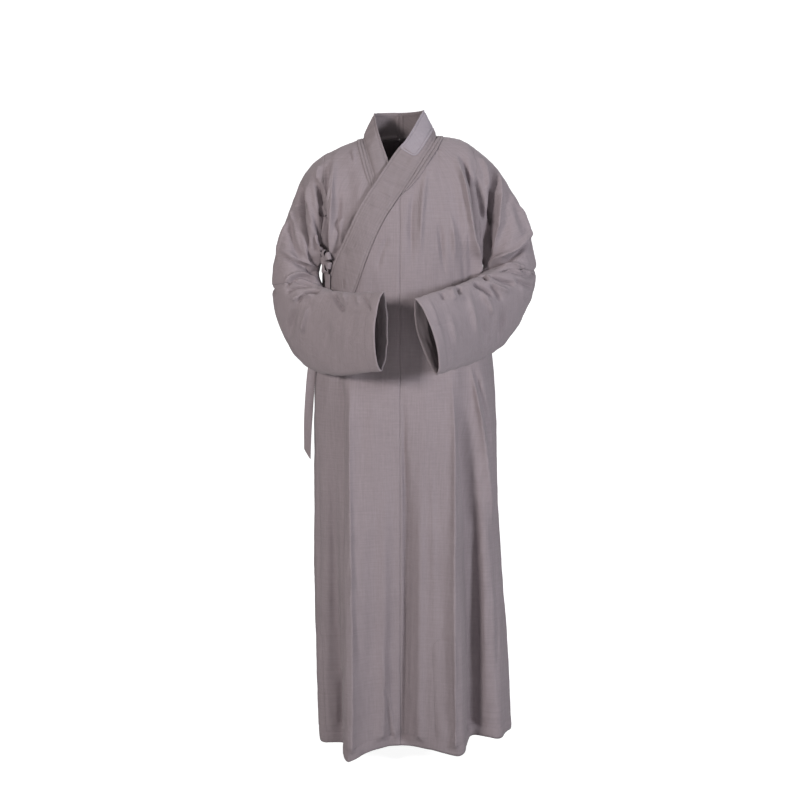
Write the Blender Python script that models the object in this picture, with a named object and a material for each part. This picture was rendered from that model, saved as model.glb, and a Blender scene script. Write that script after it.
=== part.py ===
"""A buddhist monk's long robe in its worn form, built as sewn walls of cloth.

Metres, +Z up. The wearer faces -Y and the wearer's left side is at +X. The origin lies on the
shoulder line, midway between the two points where the collar crosses the shoulders.

Angles go round the body in degrees: 0 is the centre front, 90 the wearer's left side, -90 the
right side and 180 the centre back. "Rise" is 0 at the hem, 1 at the armpit and 2 at the shoulder.
"""

import math

import bpy
import numpy as np

# ---- cloth ---------------------------------------------------------------------------------------
WALL = 0.0018             # one panel
BAND_WALL = 0.0024        # the collar band, three layers
STRIP_WALL = 0.0010       # collar steps and guard
SEAM_GAP = 0.0003         # between two pieces sewn together
UNDER_DROP = 0.0066       # how far the covered right front lies inside the overlap
LAY_GAP = 0.0005          # between a panel and what lies on it

# ---- driving sizes -------------------------------------------------------------------------------
ARMPIT_Z = -0.270
NECK_ANGLE = 30           # panel columns inside this angle end at the neck
NECK_STATIONS = (20, 22.5, 25, 27, 28.4, 29.4, 30)   # collar sections close to the neck corner
NECK_BESIDE = 28.4        # an extra column, because the neckline turns quickly there
ARMHOLE_FRONT = 0.076     # armhole, half depths
ARMHOLE_BACK = 0.082
ARM_RIDGE = 0.008         # a full fold stands out beside each armhole
ARM_RIDGE_ANGLE = 74
ARM_RIDGE_SPREAD = 11
ROUNDNESS = 0.92          # 1 is an ellipse, less is squarer
BACK_FULLNESS = 0.75      # below 1 the upper back stays full up to the neck
NECK_BACK_RISE = 0.020    # how much higher the back of the neck is than its sides
NECK_BACK_CUT = 0.2744    # depth of the back neckline, in rise
OVERLAP_END = -75         # angle of the overlap's free edge
UNDER_END = 20            # angle of the right front's hidden edge
HEM_DIP = 0.45            # a fold that stands out lowers its hem by this share of how far
ARMPIT_RISE = 1.0
TOP_RISE = 2.0
EDGE_OF_FRONT = 89.9999   # the sides, named from the front or from the back
EDGE_OF_BACK = 90.0001
SLEEVE_START_OUT = 0.35   # how far a sleeve leaves its armhole sideways, against downwards
SLEEVE_START_LEAST = -0.3
CUT_LOWEST_RISE = 0.5     # the fronts are cut above this rise
CHEST_HALF = 0.185        # first guesses for the search of a place on the chest
CHEST_RISE = 1.3
UNDER_FADE_ANGLE = 14     # the covered front comes out to the side seam over this angle
UNDER_FADE_RISE = 0.30    # and to the shoulder over this rise

# ---- how finely it is divided --------------------------------------------------------------------
COLUMN_STEP = 5           # degrees
SKIRT_ROWS = 11
YOKE_ROWS = 10            # armpit to shoulder, also half the points round a sleeve
SPLIT_GAP = 0.0003        # where one cloth is held as several solids
# A panel's solids from the hem up, and the rows where they meet.
LEVELS = ("hem", "skirt", "waist", "chest")
PANEL_SPLITS = (0, 4, 8, 13, SKIRT_ROWS + YOKE_ROWS)
OVERLAP_SPLITS = (0, 5, 11, 16, SKIRT_ROWS + YOKE_ROWS)
SLEEVE_ROWS = 21
BAND_STEPS = 4            # across the collar band

# Body sizes at a height: half widths to the wearer's right and left, depths to front and back.
BODY = (
    # z, right, left, front, back
    (-1.400, 0.190, 0.266, 0.095, 0.195),
    (-1.150, 0.198, 0.251, 0.104, 0.172),
    (-0.900, 0.201, 0.231, 0.116, 0.147),
    (-0.700, 0.200, 0.224, 0.126, 0.130),
    (-0.560, 0.198, 0.219, 0.129, 0.120),
    (-0.430, 0.186, 0.204, 0.129, 0.112),
    (-0.330, 0.178, 0.184, 0.130, 0.112),
    (-0.270, 0.175, 0.178, 0.130, 0.115),
)

# Height of the hem round the robe, before the folds pull it down.
HEM = (
    # angle, z
    (-180, -1.392),
    (-130, -1.386),
    (-90, -1.384),
    (-60, -1.390),
    (-30, -1.398),
    (0, -1.396),
    (25, -1.392),
    (40, -1.376),
    (60, -1.370),
    (90, -1.368),
    (130, -1.380),
    (180, -1.392),
)

# Where a column meets the shoulder line: 30 degrees is the neck corner, 90 the top of the armhole.
SHOULDER_REACH = (
    # angle, x
    (0, 0.000),
    (15, 0.044),
    (30, 0.083),
    (60, 0.132),
    (90, 0.165),
)

# Shoulder line height at a place across the body.
SHOULDER = (
    # x, z
    (-0.165, -0.032),
    (-0.124, -0.013),
    (-0.083, -0.001),
    (0.000, 0.000),
    (0.083, 0.004),
    (0.110, 0.004),
    (0.135, -0.002),
    (0.165, -0.016),
)

# Long hanging folds: where each starts and ends, its angle there, its half width in degrees,
# how far it stands out (or in, below 0) at start and end, and how far its crest leans round.
FOLDS = (
    # top_z, end_z, top_angle, end_angle, spread, top_out, end_out, lean
    (-0.46, -1.42, -32, -31, 9, 0.005, 0.040, -0.010),
    (-0.50, -1.42, -47, -46, 8, -0.004, -0.030, 0.000),
    (-0.62, -1.42, -70, -68, 9, 0.001, 0.008, 0.000),
    (-0.46, -1.42, -2, -1, 14, -0.003, -0.042, 0.000),
    (-0.80, -1.42, 12, 12, 6, 0.002, 0.008, 0.000),
    (-0.46, -1.42, 33, 27, 9, 0.005, 0.032, 0.008),
    (-0.46, -1.42, 43, 39, 8, -0.007, -0.042, 0.000),
    (-0.60, -1.42, 60, 56, 8, 0.001, 0.014, 0.000),
    (-0.50, -0.84, 50, 78, 6, 0.009, 0.005, 0.000),
    (-0.55, -1.42, 177, 178, 12, -0.003, -0.022, 0.000),
    (-0.55, -1.42, 152, 155, 10, 0.003, 0.024, 0.000),
    (-0.60, -1.42, 129, 133, 10, -0.003, -0.022, 0.000),
    (-0.70, -1.42, 108, 111, 9, 0.002, 0.016, 0.000),
    (-0.55, -1.42, -156, -152, 11, 0.003, 0.026, 0.000),
    (-0.60, -1.42, -127, -130, 10, -0.003, -0.024, 0.000),
    (-0.70, -1.42, -106, -108, 8, 0.002, 0.013, 0.000),
)
FOLD_FADE = 0.16          # length over which a fold starts or dies out

# Where the outer front is cut: from the side, along the band's seam, up to the neck.
OUTER_CUT = (
    # x, z
    (-0.200, -0.395),
    (-0.150, -0.382),
    (-0.112, -0.368),
    (-0.100, -0.342),
    (-0.087, -0.305),
    (-0.063, -0.238),
    (-0.037, -0.181),
    (0.0065, -0.118),
    (0.044, -0.059),
    (0.076, -0.010),
    (0.083, 0.003),
)
# The same for the right front, which goes on down under the overlap.
UNDER_CUT = (
    # x, z
    (-0.083, -0.002),
    (-0.074, -0.034),
    (-0.063, -0.074),
    (-0.055, -0.115),
    (-0.040, -0.155),
    (-0.015, -0.200),
    (0.020, -0.250),
    (0.070, -0.310),
)

# Free edge of the collar band, beside a place on its seam; "standing" is 0 where the band lies on
# the chest and 1 where it stands round the neck, at the depth y given here.
OUTER_EDGE = (
    # seam_x, x, y, z, standing
    (-0.1070, -0.160, -0.080, -0.330, 0.0),
    (-0.0870, -0.147, -0.090, -0.278, 0.0),
    (-0.0630, -0.110, -0.100, -0.197, 0.0),
    (-0.0370, -0.089, -0.100, -0.153, 0.0),
    (0.0065, -0.0435, -0.095, -0.0845, 0.0),
    (0.0440, -0.0065, -0.068, -0.0270, 0.7),
    (0.0760, 0.0300, -0.037, 0.0210, 1.0),
    (0.0830, 0.0515, 0.000, 0.0600, 1.0),
)
UNDER_EDGE = (
    # seam_x, x, y, z, standing
    (-0.0830, -0.0575, 0.000, 0.0540, 1.0),
    (-0.0740, -0.0490, -0.040, 0.0170, 1.0),
    (-0.0630, -0.0350, -0.062, -0.0260, 0.7),
    (-0.0550, -0.0210, -0.082, -0.0660, 0.1),
    (-0.0400, 0.0020, -0.100, -0.1080, 0.0),
    (-0.0150, 0.0340, -0.110, -0.1480, 0.0),
    (0.0200, 0.0700, -0.110, -0.2000, 0.0),
)
NECK_EDGE_BACK = 0.046    # depth of the band's free edge at the back of the neck
NECK_EDGE_Z = 0.058
BAND_END_ANGLE = -35      # columns that the band runs between
UNDER_BAND_END_ANGLE = 5
BAND_START = 0.008        # share of the width at which the band clears the panels' cut edge
BAND_SETTLE = 4           # the band lies on the chest from 1/4 of its width on
NECK_MIDDLE_Y = 0.02
STEP_WIDTH = 0.0076       # how far each collar step shows
STEP_ENDS = (-15, 0)      # columns that the steps run between
STEP_TAPER = 0.07         # length over which they narrow to this share of their width
STEP_END_SHARE = 0.45
GUARD_FRONT_END = 15      # column where the guard starts; it ends behind the right neck corner
GUARD_RIGHT_STATIONS = 7
GUARD_BARE_ROWS = 1       # rows of the band that the guard leaves bare

# Sleeve rings: the inner point (armpit to inner elbow to top of the cuff), the outer point
# (shoulder to elbow to bottom of the cuff), and how far the ring bulges to its front and back.
SLEEVE_RIGHT = (
    # in_x, in_y, in_z, out_x, out_y, out_z, fore, aft
    (-0.175, 0.000, -0.270, -0.165, 0.000, -0.032, 0.076, 0.082),
    (-0.1785, -0.004, -0.284, -0.213, 0.000, -0.070, 0.080, 0.084),
    (-0.1795, -0.016, -0.297, -0.241, 0.000, -0.135, 0.074, 0.078),
    (-0.178, -0.032, -0.308, -0.262, 0.002, -0.192, 0.066, 0.070),
    (-0.1765, -0.053, -0.317, -0.276, 0.005, -0.252, 0.058, 0.062),
    (-0.1785, -0.077, -0.324, -0.282, 0.006, -0.314, 0.052, 0.050),
    (-0.1715, -0.099, -0.328, -0.280, 0.000, -0.376, 0.047, 0.040),
    (-0.156, -0.119, -0.331, -0.261, -0.012, -0.440, 0.042, 0.032),
    (-0.138, -0.142, -0.333, -0.231, -0.036, -0.493, 0.037, 0.025),
    (-0.116, -0.166, -0.334, -0.191, -0.075, -0.519, 0.033, 0.020),
    (-0.092, -0.193, -0.333, -0.150, -0.126, -0.523, 0.030, 0.020),
    (-0.063, -0.222, -0.330, -0.098, -0.184, -0.514, 0.028, 0.022),
    (-0.032, -0.252, -0.328, -0.038, -0.247, -0.500, 0.026, 0.024),
)
SLEEVE_LEFT = (
    # in_x, in_y, in_z, out_x, out_y, out_z, fore, aft
    (0.178, 0.000, -0.270, 0.165, 0.000, -0.016, 0.076, 0.082),
    (0.1815, -0.004, -0.277, 0.215, 0.000, -0.058, 0.080, 0.086),
    (0.184, -0.016, -0.285, 0.254, 0.000, -0.119, 0.074, 0.080),
    (0.184, -0.032, -0.291, 0.286, 0.002, -0.174, 0.066, 0.072),
    (0.1815, -0.051, -0.295, 0.300, 0.005, -0.228, 0.058, 0.062),
    (0.1785, -0.073, -0.298, 0.304, 0.006, -0.288, 0.052, 0.050),
    (0.1725, -0.096, -0.300, 0.300, 0.000, -0.342, 0.047, 0.040),
    (0.171, -0.119, -0.303, 0.278, -0.012, -0.390, 0.042, 0.032),
    (0.153, -0.143, -0.308, 0.252, -0.036, -0.438, 0.037, 0.025),
    (0.131, -0.168, -0.314, 0.213, -0.073, -0.473, 0.033, 0.020),
    (0.105, -0.197, -0.321, 0.170, -0.122, -0.492, 0.030, 0.020),
    (0.070, -0.229, -0.331, 0.125, -0.186, -0.500, 0.028, 0.022),
    (0.028, -0.260, -0.342, 0.077, -0.256, -0.507, 0.026, 0.024),
)
# Deep creases pressed into a sleeve: places along it (ring) and round it (degrees; 0 inner, 90
# front, 180 outer), then depth and half width.
SLEEVE_CREASES = {
    # route, depth, half width
    "right": (
        (((1.5, 152), (2.4, 122), (3.4, 84), (4.5, 40)), 0.026, 0.018),
        (((0.6, 98), (1.3, 62), (2.6, 30)), 0.018, 0.016),
        (((4.9, 115), (4.9, 45)), 0.008, 0.013),
        (((1.2, 250), (2.6, 285), (4.2, 330)), 0.012, 0.018),
    ),
    "left": (
        (((0.35, 150), (0.6, 105), (0.9, 60), (1.6, 30)), 0.018, 0.017),
        (((1.2, 150), (1.9, 112), (2.6, 74), (3.6, 30)), 0.022, 0.018),
        (((4.2, 165), (4.3, 90), (4.4, 38)), 0.010, 0.014),
        (((1.2, 250), (2.6, 285), (4.2, 330)), 0.012, 0.018),
    ),
}
CREASE_SAMPLES = 8        # along each stretch of a crease's route
CREASE_SPAN = (0.12, 0.95)   # part of a half sine wave that its depth follows
CREASES_START = 0.8       # rings from the armhole over which the creases come in
SLEEVE_GAP = 0.0019       # its seams turn sharply at the armpit and the inner elbow
SEWN_RINGS = (0, 9)       # the armhole, and the seam where the extension is sewn on
# A sleeve's solids from the armhole on.
SLEEVE_SOLIDS = {
    # name, first ring, last ring
    "right": (
        ("sleeve_top", 0, 3),
        ("sleeve_upper", 3, 6),
        ("sleeve_elbow", 6, 9),
        ("sleeve_lower", 9, 14),
        ("sleeve_cuff", 14, SLEEVE_ROWS - 1),
    ),
    "left": (
        ("sleeve_top", 0, 3),
        ("sleeve_upper", 3, 9),
        ("sleeve_lower", 9, 14),
        ("sleeve_cuff", 14, SLEEVE_ROWS - 1),
    ),
}
ARMPIT_GAP = 0.0020       # more room where four walls meet
ARMPIT_STEPS = 2          # points to each side of the armpit that this reaches
SLEEVE_BLEND = 2.0        # rings over which the armhole's own curve eases out

# Side tie: the tail's middle line down the right side, by height, angle and distance off the body.
TAIL = (
    # z, angle, off
    (-0.300, -61, 0.0060),
    (-0.335, -61.5, 0.0045),
    (-0.365, -66, 0.0035),
    (-0.400, -73, 0.0030),
    (-0.470, -76, 0.0035),
    (-0.530, -79, 0.0060),
    (-0.590, -80, 0.0130),
    (-0.650, -80, 0.0165),
    (-0.714, -80, 0.0160),
)
TAIL_WIDTH = 0.020
TAIL_WALL = 0.0016
TAIL_ROWS = 15
TAIL_SLANT = -0.012       # how much lower one corner of its end is than the middle
KNOT_ANGLE = -66
KNOT_Z = -0.272
KNOT_OFF = 0.0085         # its middle, off the body
KNOT_HALF = (0.0075, 0.0062, 0.014)   # half sizes round the body, off it, and upright
KNOT_TAPER = 0.94         # how nearly its ends come to a point
KNOT_PLUMPNESS = 2.6      # 2 is an ellipsoid, more is blunter
KNOT_RINGS = 7
KNOT_POINTS = 8

CLOTH_COLOUR = (0.283, 0.236, 0.262, 1.0)
BAND_COLOUR = (0.270, 0.225, 0.235, 1.0)
GUARD_COLOUR = (0.420, 0.378, 0.420, 1.0)


# ---- small helpers -------------------------------------------------------------------------------
def unit(vector):
    return vector / max(np.linalg.norm(vector), 1e-12)


def ease(amount):
    """0 below 0, 1 above 1, smooth between."""
    amount = min(max(amount, 0.0), 1.0)
    return amount * amount * (3.0 - 2.0 * amount)


def table_at(rows, place):
    """Every column of a table at a place in its first column, as a smooth curve."""
    data = np.array(rows, float)
    keys = data[:, 0]
    order = np.argsort(keys)
    keys, data = keys[order], data[order]
    place = min(max(place, keys[0]), keys[-1])
    low = min(max(int(np.searchsorted(keys, place)) - 1, 0), len(keys) - 2)
    slopes = np.gradient(data, keys, axis=0)
    span = keys[low + 1] - keys[low]
    part = (place - keys[low]) / span
    start, end = data[low], data[low + 1]
    return ((2 * part**3 - 3 * part**2 + 1) * start + (part**3 - 2 * part**2 + part) * span * slopes[low]
            + (3 * part**2 - 2 * part**3) * end + (part**3 - part**2) * span * slopes[low + 1])


def line_at(rows, place):
    """Second column of a two-column table, straight between its rows."""
    data = np.array(rows, float)
    return float(np.interp(place, data[:, 0], data[:, 1]))


# ---- the body's surface --------------------------------------------------------------------------
def split_angle(angle):
    """Angle from the nearer centre line, side (+1 left), and whether it is on the front."""
    angle = (angle + 180) % 360 - 180 if abs(angle) > 180 else angle
    front = abs(angle) <= 90
    from_centre = abs(angle) if front else 180 - abs(angle)
    return from_centre, (1 if angle >= 0 else -1), front


def fold_push(angle, z):
    """How far the folds move a point of the body out, and round it."""
    out = round_shift = 0.0
    for top_z, end_z, top_angle, end_angle, spread, top_out, end_out, lean in FOLDS:
        along = (top_z - z) / (top_z - end_z)
        centre = top_angle + (end_angle - top_angle) * min(max(along, 0.0), 1.0)
        off = (angle - centre + 180) % 360 - 180
        bump = math.exp(-(off / spread) ** 2)
        fade = ease((top_z - z) / FOLD_FADE + 0.5) * ease((z - end_z) / FOLD_FADE + 1.0)
        size = top_out + (end_out - top_out) * ease(along)
        out += bump * fade * size
        round_shift += bump * fade * lean * ease(along)
    return out, round_shift


def ring_point(angle, z):
    """A point of the body below the armpits."""
    from_centre, side, front = split_angle(angle)
    _, right, left, fore, aft = table_at(BODY, z)
    half = left if side > 0 else right
    depth = -fore if front else aft
    across = math.sin(math.radians(from_centre)) ** ROUNDNESS
    along = max(math.cos(math.radians(from_centre)), 0.0) ** ROUNDNESS
    point = np.array((side * half * across, depth * along, z))
    outward = unit(np.array((point[0] / half**2, point[1] / depth**2, 0.0)))
    round_way = np.array((-outward[1], outward[0], 0.0))
    out, round_shift = fold_push(angle, z)
    return point + outward * out + round_way * round_shift


def shoulder_point(angle):
    """Where a column would meet the shoulder line."""
    from_centre, side, front = split_angle(angle)
    x = table_at(SHOULDER_REACH, from_centre)[1]
    z = table_at(SHOULDER, side * x)[1]
    if not front:
        z += NECK_BACK_RISE * ease(1 - from_centre / NECK_ANGLE)
    return np.array((side * x, 0.0, z))


def body_point(angle, rise):
    """The outer surface of the robe's body."""
    if rise <= ARMPIT_RISE:
        level = line_at(HEM, (angle + 180) % 360 - 180 if abs(angle) > 180 else angle)
        hem = level - HEM_DIP * max(fold_push(angle, level)[0], 0.0)
        return ring_point(angle, hem + (ARMPIT_Z - hem) * rise)
    from_centre, _, front = split_angle(angle)
    climb = min(rise - ARMPIT_RISE, 1.0)
    start, top = ring_point(angle, ARMPIT_Z), shoulder_point(angle)
    centre_share = max(math.cos(math.radians(from_centre)), 0.0) ** ROUNDNESS
    turn, fullness = climb * math.pi / 2, 1.0 if front else BACK_FULLNESS
    chest_out = max(math.cos(turn), 0.0) ** fullness
    chest_up = math.sin(turn) ** fullness
    arm_out = math.sin(math.pi * climb) * (-ARMHOLE_FRONT if front else ARMHOLE_BACK)
    arm_up = (1 - math.cos(math.pi * climb)) / 2
    up = chest_up * centre_share + arm_up * (1 - centre_share)
    across = climb * centre_share + arm_up * (1 - centre_share)
    beside_arm = math.exp(-((from_centre - ARM_RIDGE_ANGLE) / ARM_RIDGE_SPREAD) ** 2)
    ridge = ARM_RIDGE * math.sin(math.pi * climb) * beside_arm
    return np.array((start[0] + (top[0] - start[0]) * across,
                     start[1] * chest_out + arm_out * (1 - centre_share) + (-ridge if front else ridge),
                     start[2] + (top[2] - start[2]) * up))


def body_normal(angle, rise):
    """Outward direction of the body's surface, worked out inside the same half and level."""
    side_step, rise_step = 0.6, 0.01
    low, high = angle - side_step, angle + side_step
    if rise > ARMPIT_RISE:
        for edge in (-90, 90):
            if low < edge <= angle and angle - edge < side_step:
                low = edge if angle > edge else low
            if angle <= edge < high and edge - angle < side_step:
                high = edge if angle < edge else high
    rise_low, rise_high = max(rise - rise_step, 0.0), min(rise + rise_step, TOP_RISE)
    if rise > ARMPIT_RISE:
        rise_low = max(rise_low, ARMPIT_RISE + 1e-6)
    across = body_point(high, rise) - body_point(low, rise)
    upward = body_point(angle, rise_high) - body_point(angle, rise_low)
    return unit(np.cross(across, upward))


def edge_normal(angle, rise):
    """The normal just inside a panel's armhole edge."""
    inward = -2.0 if abs(angle) <= 90 else 2.0
    return body_normal(angle + math.copysign(inward, angle), rise)


def under_drop(angle, rise):
    """How far inside the outer front the right front lies here."""
    from_side, from_top = 90 - abs(angle), TOP_RISE - rise
    return UNDER_DROP * ease(from_side / UNDER_FADE_ANGLE) * ease(from_top / UNDER_FADE_RISE)


def rise_of_cut(angle, cut):
    """Rise at which a front column meets a cut line given as z over x."""
    low, high = CUT_LOWEST_RISE, TOP_RISE
    for _ in range(40):
        middle = (low + high) / 2
        point = body_point(angle, middle)
        if point[2] < line_at(cut, point[0]):
            low = middle
        else:
            high = middle
    return (low + high) / 2


def front_place(x, z):
    """Angle and rise of the front surface at a place seen from the front."""
    angle, rise = math.degrees(math.asin(max(min(x / CHEST_HALF, 0.98), -0.98))), CHEST_RISE
    for _ in range(40):
        here = body_point(angle, rise)
        step = 0.01
        by_angle = (body_point(angle + step * 10, rise) - here)[[0, 2]] / (step * 10)
        by_rise = (body_point(angle, rise + step) - here)[[0, 2]] / step
        miss = np.array((x - here[0], z - here[2]))
        change = np.linalg.lstsq(np.column_stack((by_angle, by_rise)), miss, rcond=None)[0]
        angle += float(np.clip(change[0], -8, 8))
        rise = min(max(rise + float(np.clip(change[1], -0.2, 0.2)), 0.02), 1.97)
    return angle, rise


# ---- making walls --------------------------------------------------------------------------------
def smooth_normals(grid, closed=False):
    """Normals of a grid of points, [row][column]."""
    if closed:
        across = np.roll(grid, -1, axis=1) - np.roll(grid, 1, axis=1)
    else:
        across = np.gradient(grid, axis=1)
    normals = np.cross(across, np.gradient(grid, axis=0))
    return normals / np.maximum(np.linalg.norm(normals, axis=2, keepdims=True), 1e-12)


def pull_back(grid, sides, gap=SEAM_GAP):
    """Draw the named edges of a grid in by a little over half a seam gap."""
    grid = grid.copy()
    half = gap * 0.55
    for name in sides:
        edge, inside = {"bottom": (np.s_[0], np.s_[1]), "top": (np.s_[-1], np.s_[-2]),
                        "first": (np.s_[:, 0], np.s_[:, 1]), "last": (np.s_[:, -1], np.s_[:, -2])}[name]
        way = grid[inside] - grid[edge]
        grid[edge] += way / np.linalg.norm(way, axis=-1, keepdims=True) * half
    return grid


def add_wall(name, outer, inner, colour, closed=False, flip=False):
    """One closed solid between two grids of points; closed joins the last column to the first."""
    rows, columns = outer.shape[:2]
    verts = [tuple(point) for grid in (outer, inner) for row in grid for point in row]
    spans = columns if closed else columns - 1

    def at(row, column, layer):
        return (layer * rows + row) * columns + column % columns

    quads = []
    for row in range(rows - 1):
        for column in range(spans):
            quads.append([at(row, column, 0), at(row, column + 1, 0),
                          at(row + 1, column + 1, 0), at(row + 1, column, 0)])
            quads.append([at(row, column, 1), at(row + 1, column, 1),
                          at(row + 1, column + 1, 1), at(row, column + 1, 1)])
    for column in range(spans):
        quads.append([at(0, column, 1), at(0, column + 1, 1), at(0, column + 1, 0), at(0, column, 0)])
        quads.append([at(rows - 1, column + 1, 0), at(rows - 1, column + 1, 1),
                      at(rows - 1, column, 1), at(rows - 1, column, 0)])
    if not closed:
        last = columns - 1
        for row in range(rows - 1):
            quads.append([at(row, 0, 0), at(row + 1, 0, 0), at(row + 1, 0, 1), at(row, 0, 1)])
            quads.append([at(row, last, 1), at(row + 1, last, 1), at(row + 1, last, 0), at(row, last, 0)])
    faces = []
    for one, two, three, four in quads:
        for corners in ((one, two, three), (one, three, four)):
            faces.append(corners[::-1] if flip else corners)
    return add_mesh(name, verts, faces, colour)


def add_mesh(name, verts, faces, colour):
    mesh = bpy.data.meshes.new(name)
    mesh.from_pydata(verts, [], faces)
    mesh.shade_smooth()
    mesh.materials.append(cloth_material(name, colour))
    piece = bpy.data.objects.new(name, mesh)
    bpy.context.collection.objects.link(piece)
    return piece


def cloth_material(name, colour):
    material = bpy.data.materials.new(name + "_cloth")
    material.use_nodes = True
    shader = material.node_tree.nodes["Principled BSDF"]
    shader.inputs["Base Color"].default_value = colour
    shader.inputs["Roughness"].default_value = 0.9
    shader.inputs["Metallic"].default_value = 0.0
    return material


# ---- body panels ---------------------------------------------------------------------------------
def row_shares():
    """Rows of a full-height column as shares of its height, hem to shoulder."""
    skirt = [0.5 * row / SKIRT_ROWS for row in range(SKIRT_ROWS)]
    yoke = [0.5 + 0.5 * row / YOKE_ROWS for row in range(YOKE_ROWS + 1)]
    return skirt + yoke


def back_neck_rise(angle):
    from_centre = 180 - abs(angle)
    if from_centre >= NECK_ANGLE:
        return TOP_RISE
    return TOP_RISE - NECK_BACK_CUT * math.sqrt(1 - (from_centre / NECK_ANGLE) ** 2)


def outer_rise(angle):
    return TOP_RISE if angle >= NECK_ANGLE else rise_of_cut(angle, OUTER_CUT)


def under_rise(angle):
    return TOP_RISE if angle <= -NECK_ANGLE else rise_of_cut(angle, UNDER_CUT)


def armhole_normal(angle, climb):
    """Shared by a panel's armhole edge and the sleeve's first ring."""
    side = 1 if angle > 0 else -1
    front = abs(angle) <= 90
    turn = math.pi * climb
    way = np.array((0.0, (-1 if front else 1) * math.sin(turn), -math.cos(turn)))
    sideways = SLEEVE_START_OUT * max(math.cos(turn), SLEEVE_START_LEAST)
    sleeve_way = unit(way + np.array((side * sideways, 0.0, 0.0)))
    if climb <= 0.001:
        body_way = np.array((side * 1.0, 0.0, 0.0))
    elif climb >= 0.999:
        body_way = np.array((0.0, 0.0, 1.0))
    else:
        body_way = edge_normal(side * (EDGE_OF_FRONT if front else EDGE_OF_BACK), ARMPIT_RISE + climb)
    return unit(sleeve_way + body_way)


def panel_grids(angles, top_of, drop=None):
    """Outer and inner points of a body panel whose columns stand at these angles."""
    shares = row_shares()
    outer = np.zeros((len(shares), len(angles), 3))
    normals = np.zeros_like(outer)
    for column, angle in enumerate(angles):
        top = top_of(angle)
        for row, share in enumerate(shares):
            rise = share * top
            at_armhole = abs(angle) in (EDGE_OF_FRONT, EDGE_OF_BACK) and rise > ARMPIT_RISE - 1e-9
            outer[row, column] = body_point(angle, rise)
            if at_armhole:
                normals[row, column] = armhole_normal(angle, rise - ARMPIT_RISE)
            else:
                normals[row, column] = body_normal(angle, rise)
            if drop:
                outer[row, column] -= normals[row, column] * drop(angle, rise)
    return outer, outer - normals * WALL


def angle_columns(start, end):
    """Evenly spaced columns, with one more just inside each neck corner."""
    count = round(abs(end - start) / COLUMN_STEP)
    columns = [start + (end - start) * step / count for step in range(count + 1)]
    extra = [side * beside for side in (-1, 1) for beside in (NECK_BESIDE, 180 - NECK_BESIDE)]
    columns += [angle for angle in extra if min(start, end) < angle < max(start, end)]
    return sorted(columns, reverse=start > end)


def add_panel(name, angles, top_of, splits, sewn, drop=None):
    """One cut panel, as a solid for each of its levels; sewn names the edges on a seam."""
    layers = [pull_back(grid, sewn) for grid in panel_grids(angles, top_of, drop)]
    for level, first, last in zip(LEVELS, splits, splits[1:]):
        meeting = ("bottom",) * (first > 0) + ("top",) * (last < splits[-1])
        outer, inner = [pull_back(grid[first:last + 1], meeting, SPLIT_GAP) for grid in layers]
        add_wall(name + "_" + level, outer, inner, CLOTH_COLOUR)


def add_body():
    """The five body panels."""
    left_side = [*angle_columns(0, 85), EDGE_OF_FRONT]
    right_side = [-EDGE_OF_FRONT, *angle_columns(-85, UNDER_END)]
    all_round = ("first", "last", "top")
    add_panel("front_left", left_side, outer_rise, PANEL_SPLITS, all_round)
    add_panel("front_overlap", angle_columns(OVERLAP_END, 0), outer_rise, OVERLAP_SPLITS, ("last", "top"))
    add_panel("front_right", right_side, under_rise, PANEL_SPLITS, ("first", "top"), under_drop)
    back_left_side = [EDGE_OF_BACK, *angle_columns(95, 180)]
    add_panel("back_left", back_left_side, back_neck_rise, PANEL_SPLITS, all_round)
    back_right_side = [*angle_columns(-180, -95), -EDGE_OF_BACK]
    add_panel("back_right", back_right_side, back_neck_rise, PANEL_SPLITS, all_round)


# ---- sleeves -------------------------------------------------------------------------------------
def armhole_ring(side):
    """Points and normals of the armhole, from the armpit up the front and down the back."""
    climbs = [row / YOKE_ROWS for row in range(YOKE_ROWS + 1)]
    front, back = side * EDGE_OF_FRONT, side * EDGE_OF_BACK
    round_trip = [(front, climb) for climb in climbs] + [(back, climb) for climb in climbs[-2:0:-1]]
    points = np.array([body_point(angle, ARMPIT_RISE + climb) for angle, climb in round_trip])
    normals = np.array([armhole_normal(angle, climb) for angle, climb in round_trip])
    return points, normals


def sleeve_rings(rows):
    """Table rings of a sleeve at evenly spaced places along it."""
    keyed = [(float(index), *row) for index, row in enumerate(rows)]
    places = np.linspace(0, len(rows) - 1, SLEEVE_ROWS)
    lines = [table_at(keyed, place)[1:] for place in places]
    inner = np.array([line[0:3] for line in lines])
    outer = np.array([line[3:6] for line in lines])
    bulge = np.array([line[6:8] for line in lines])
    middle = (inner + outer) / 2
    along = np.gradient(middle, axis=0)
    aft = np.cross(along, outer - inner)
    aft /= np.linalg.norm(aft, axis=1, keepdims=True)
    rings = []
    for row in range(SLEEVE_ROWS):
        ring = []
        for step in range(2 * YOKE_ROWS):
            turn = math.pi * step / YOKE_ROWS
            side_way = -bulge[row, 0] if step <= YOKE_ROWS else bulge[row, 1]
            ring.append(middle[row] - (outer[row] - inner[row]) / 2 * math.cos(turn)
                        + aft[row] * side_way * abs(math.sin(turn)))
        rings.append(ring)
    return np.array(rings), places


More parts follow.
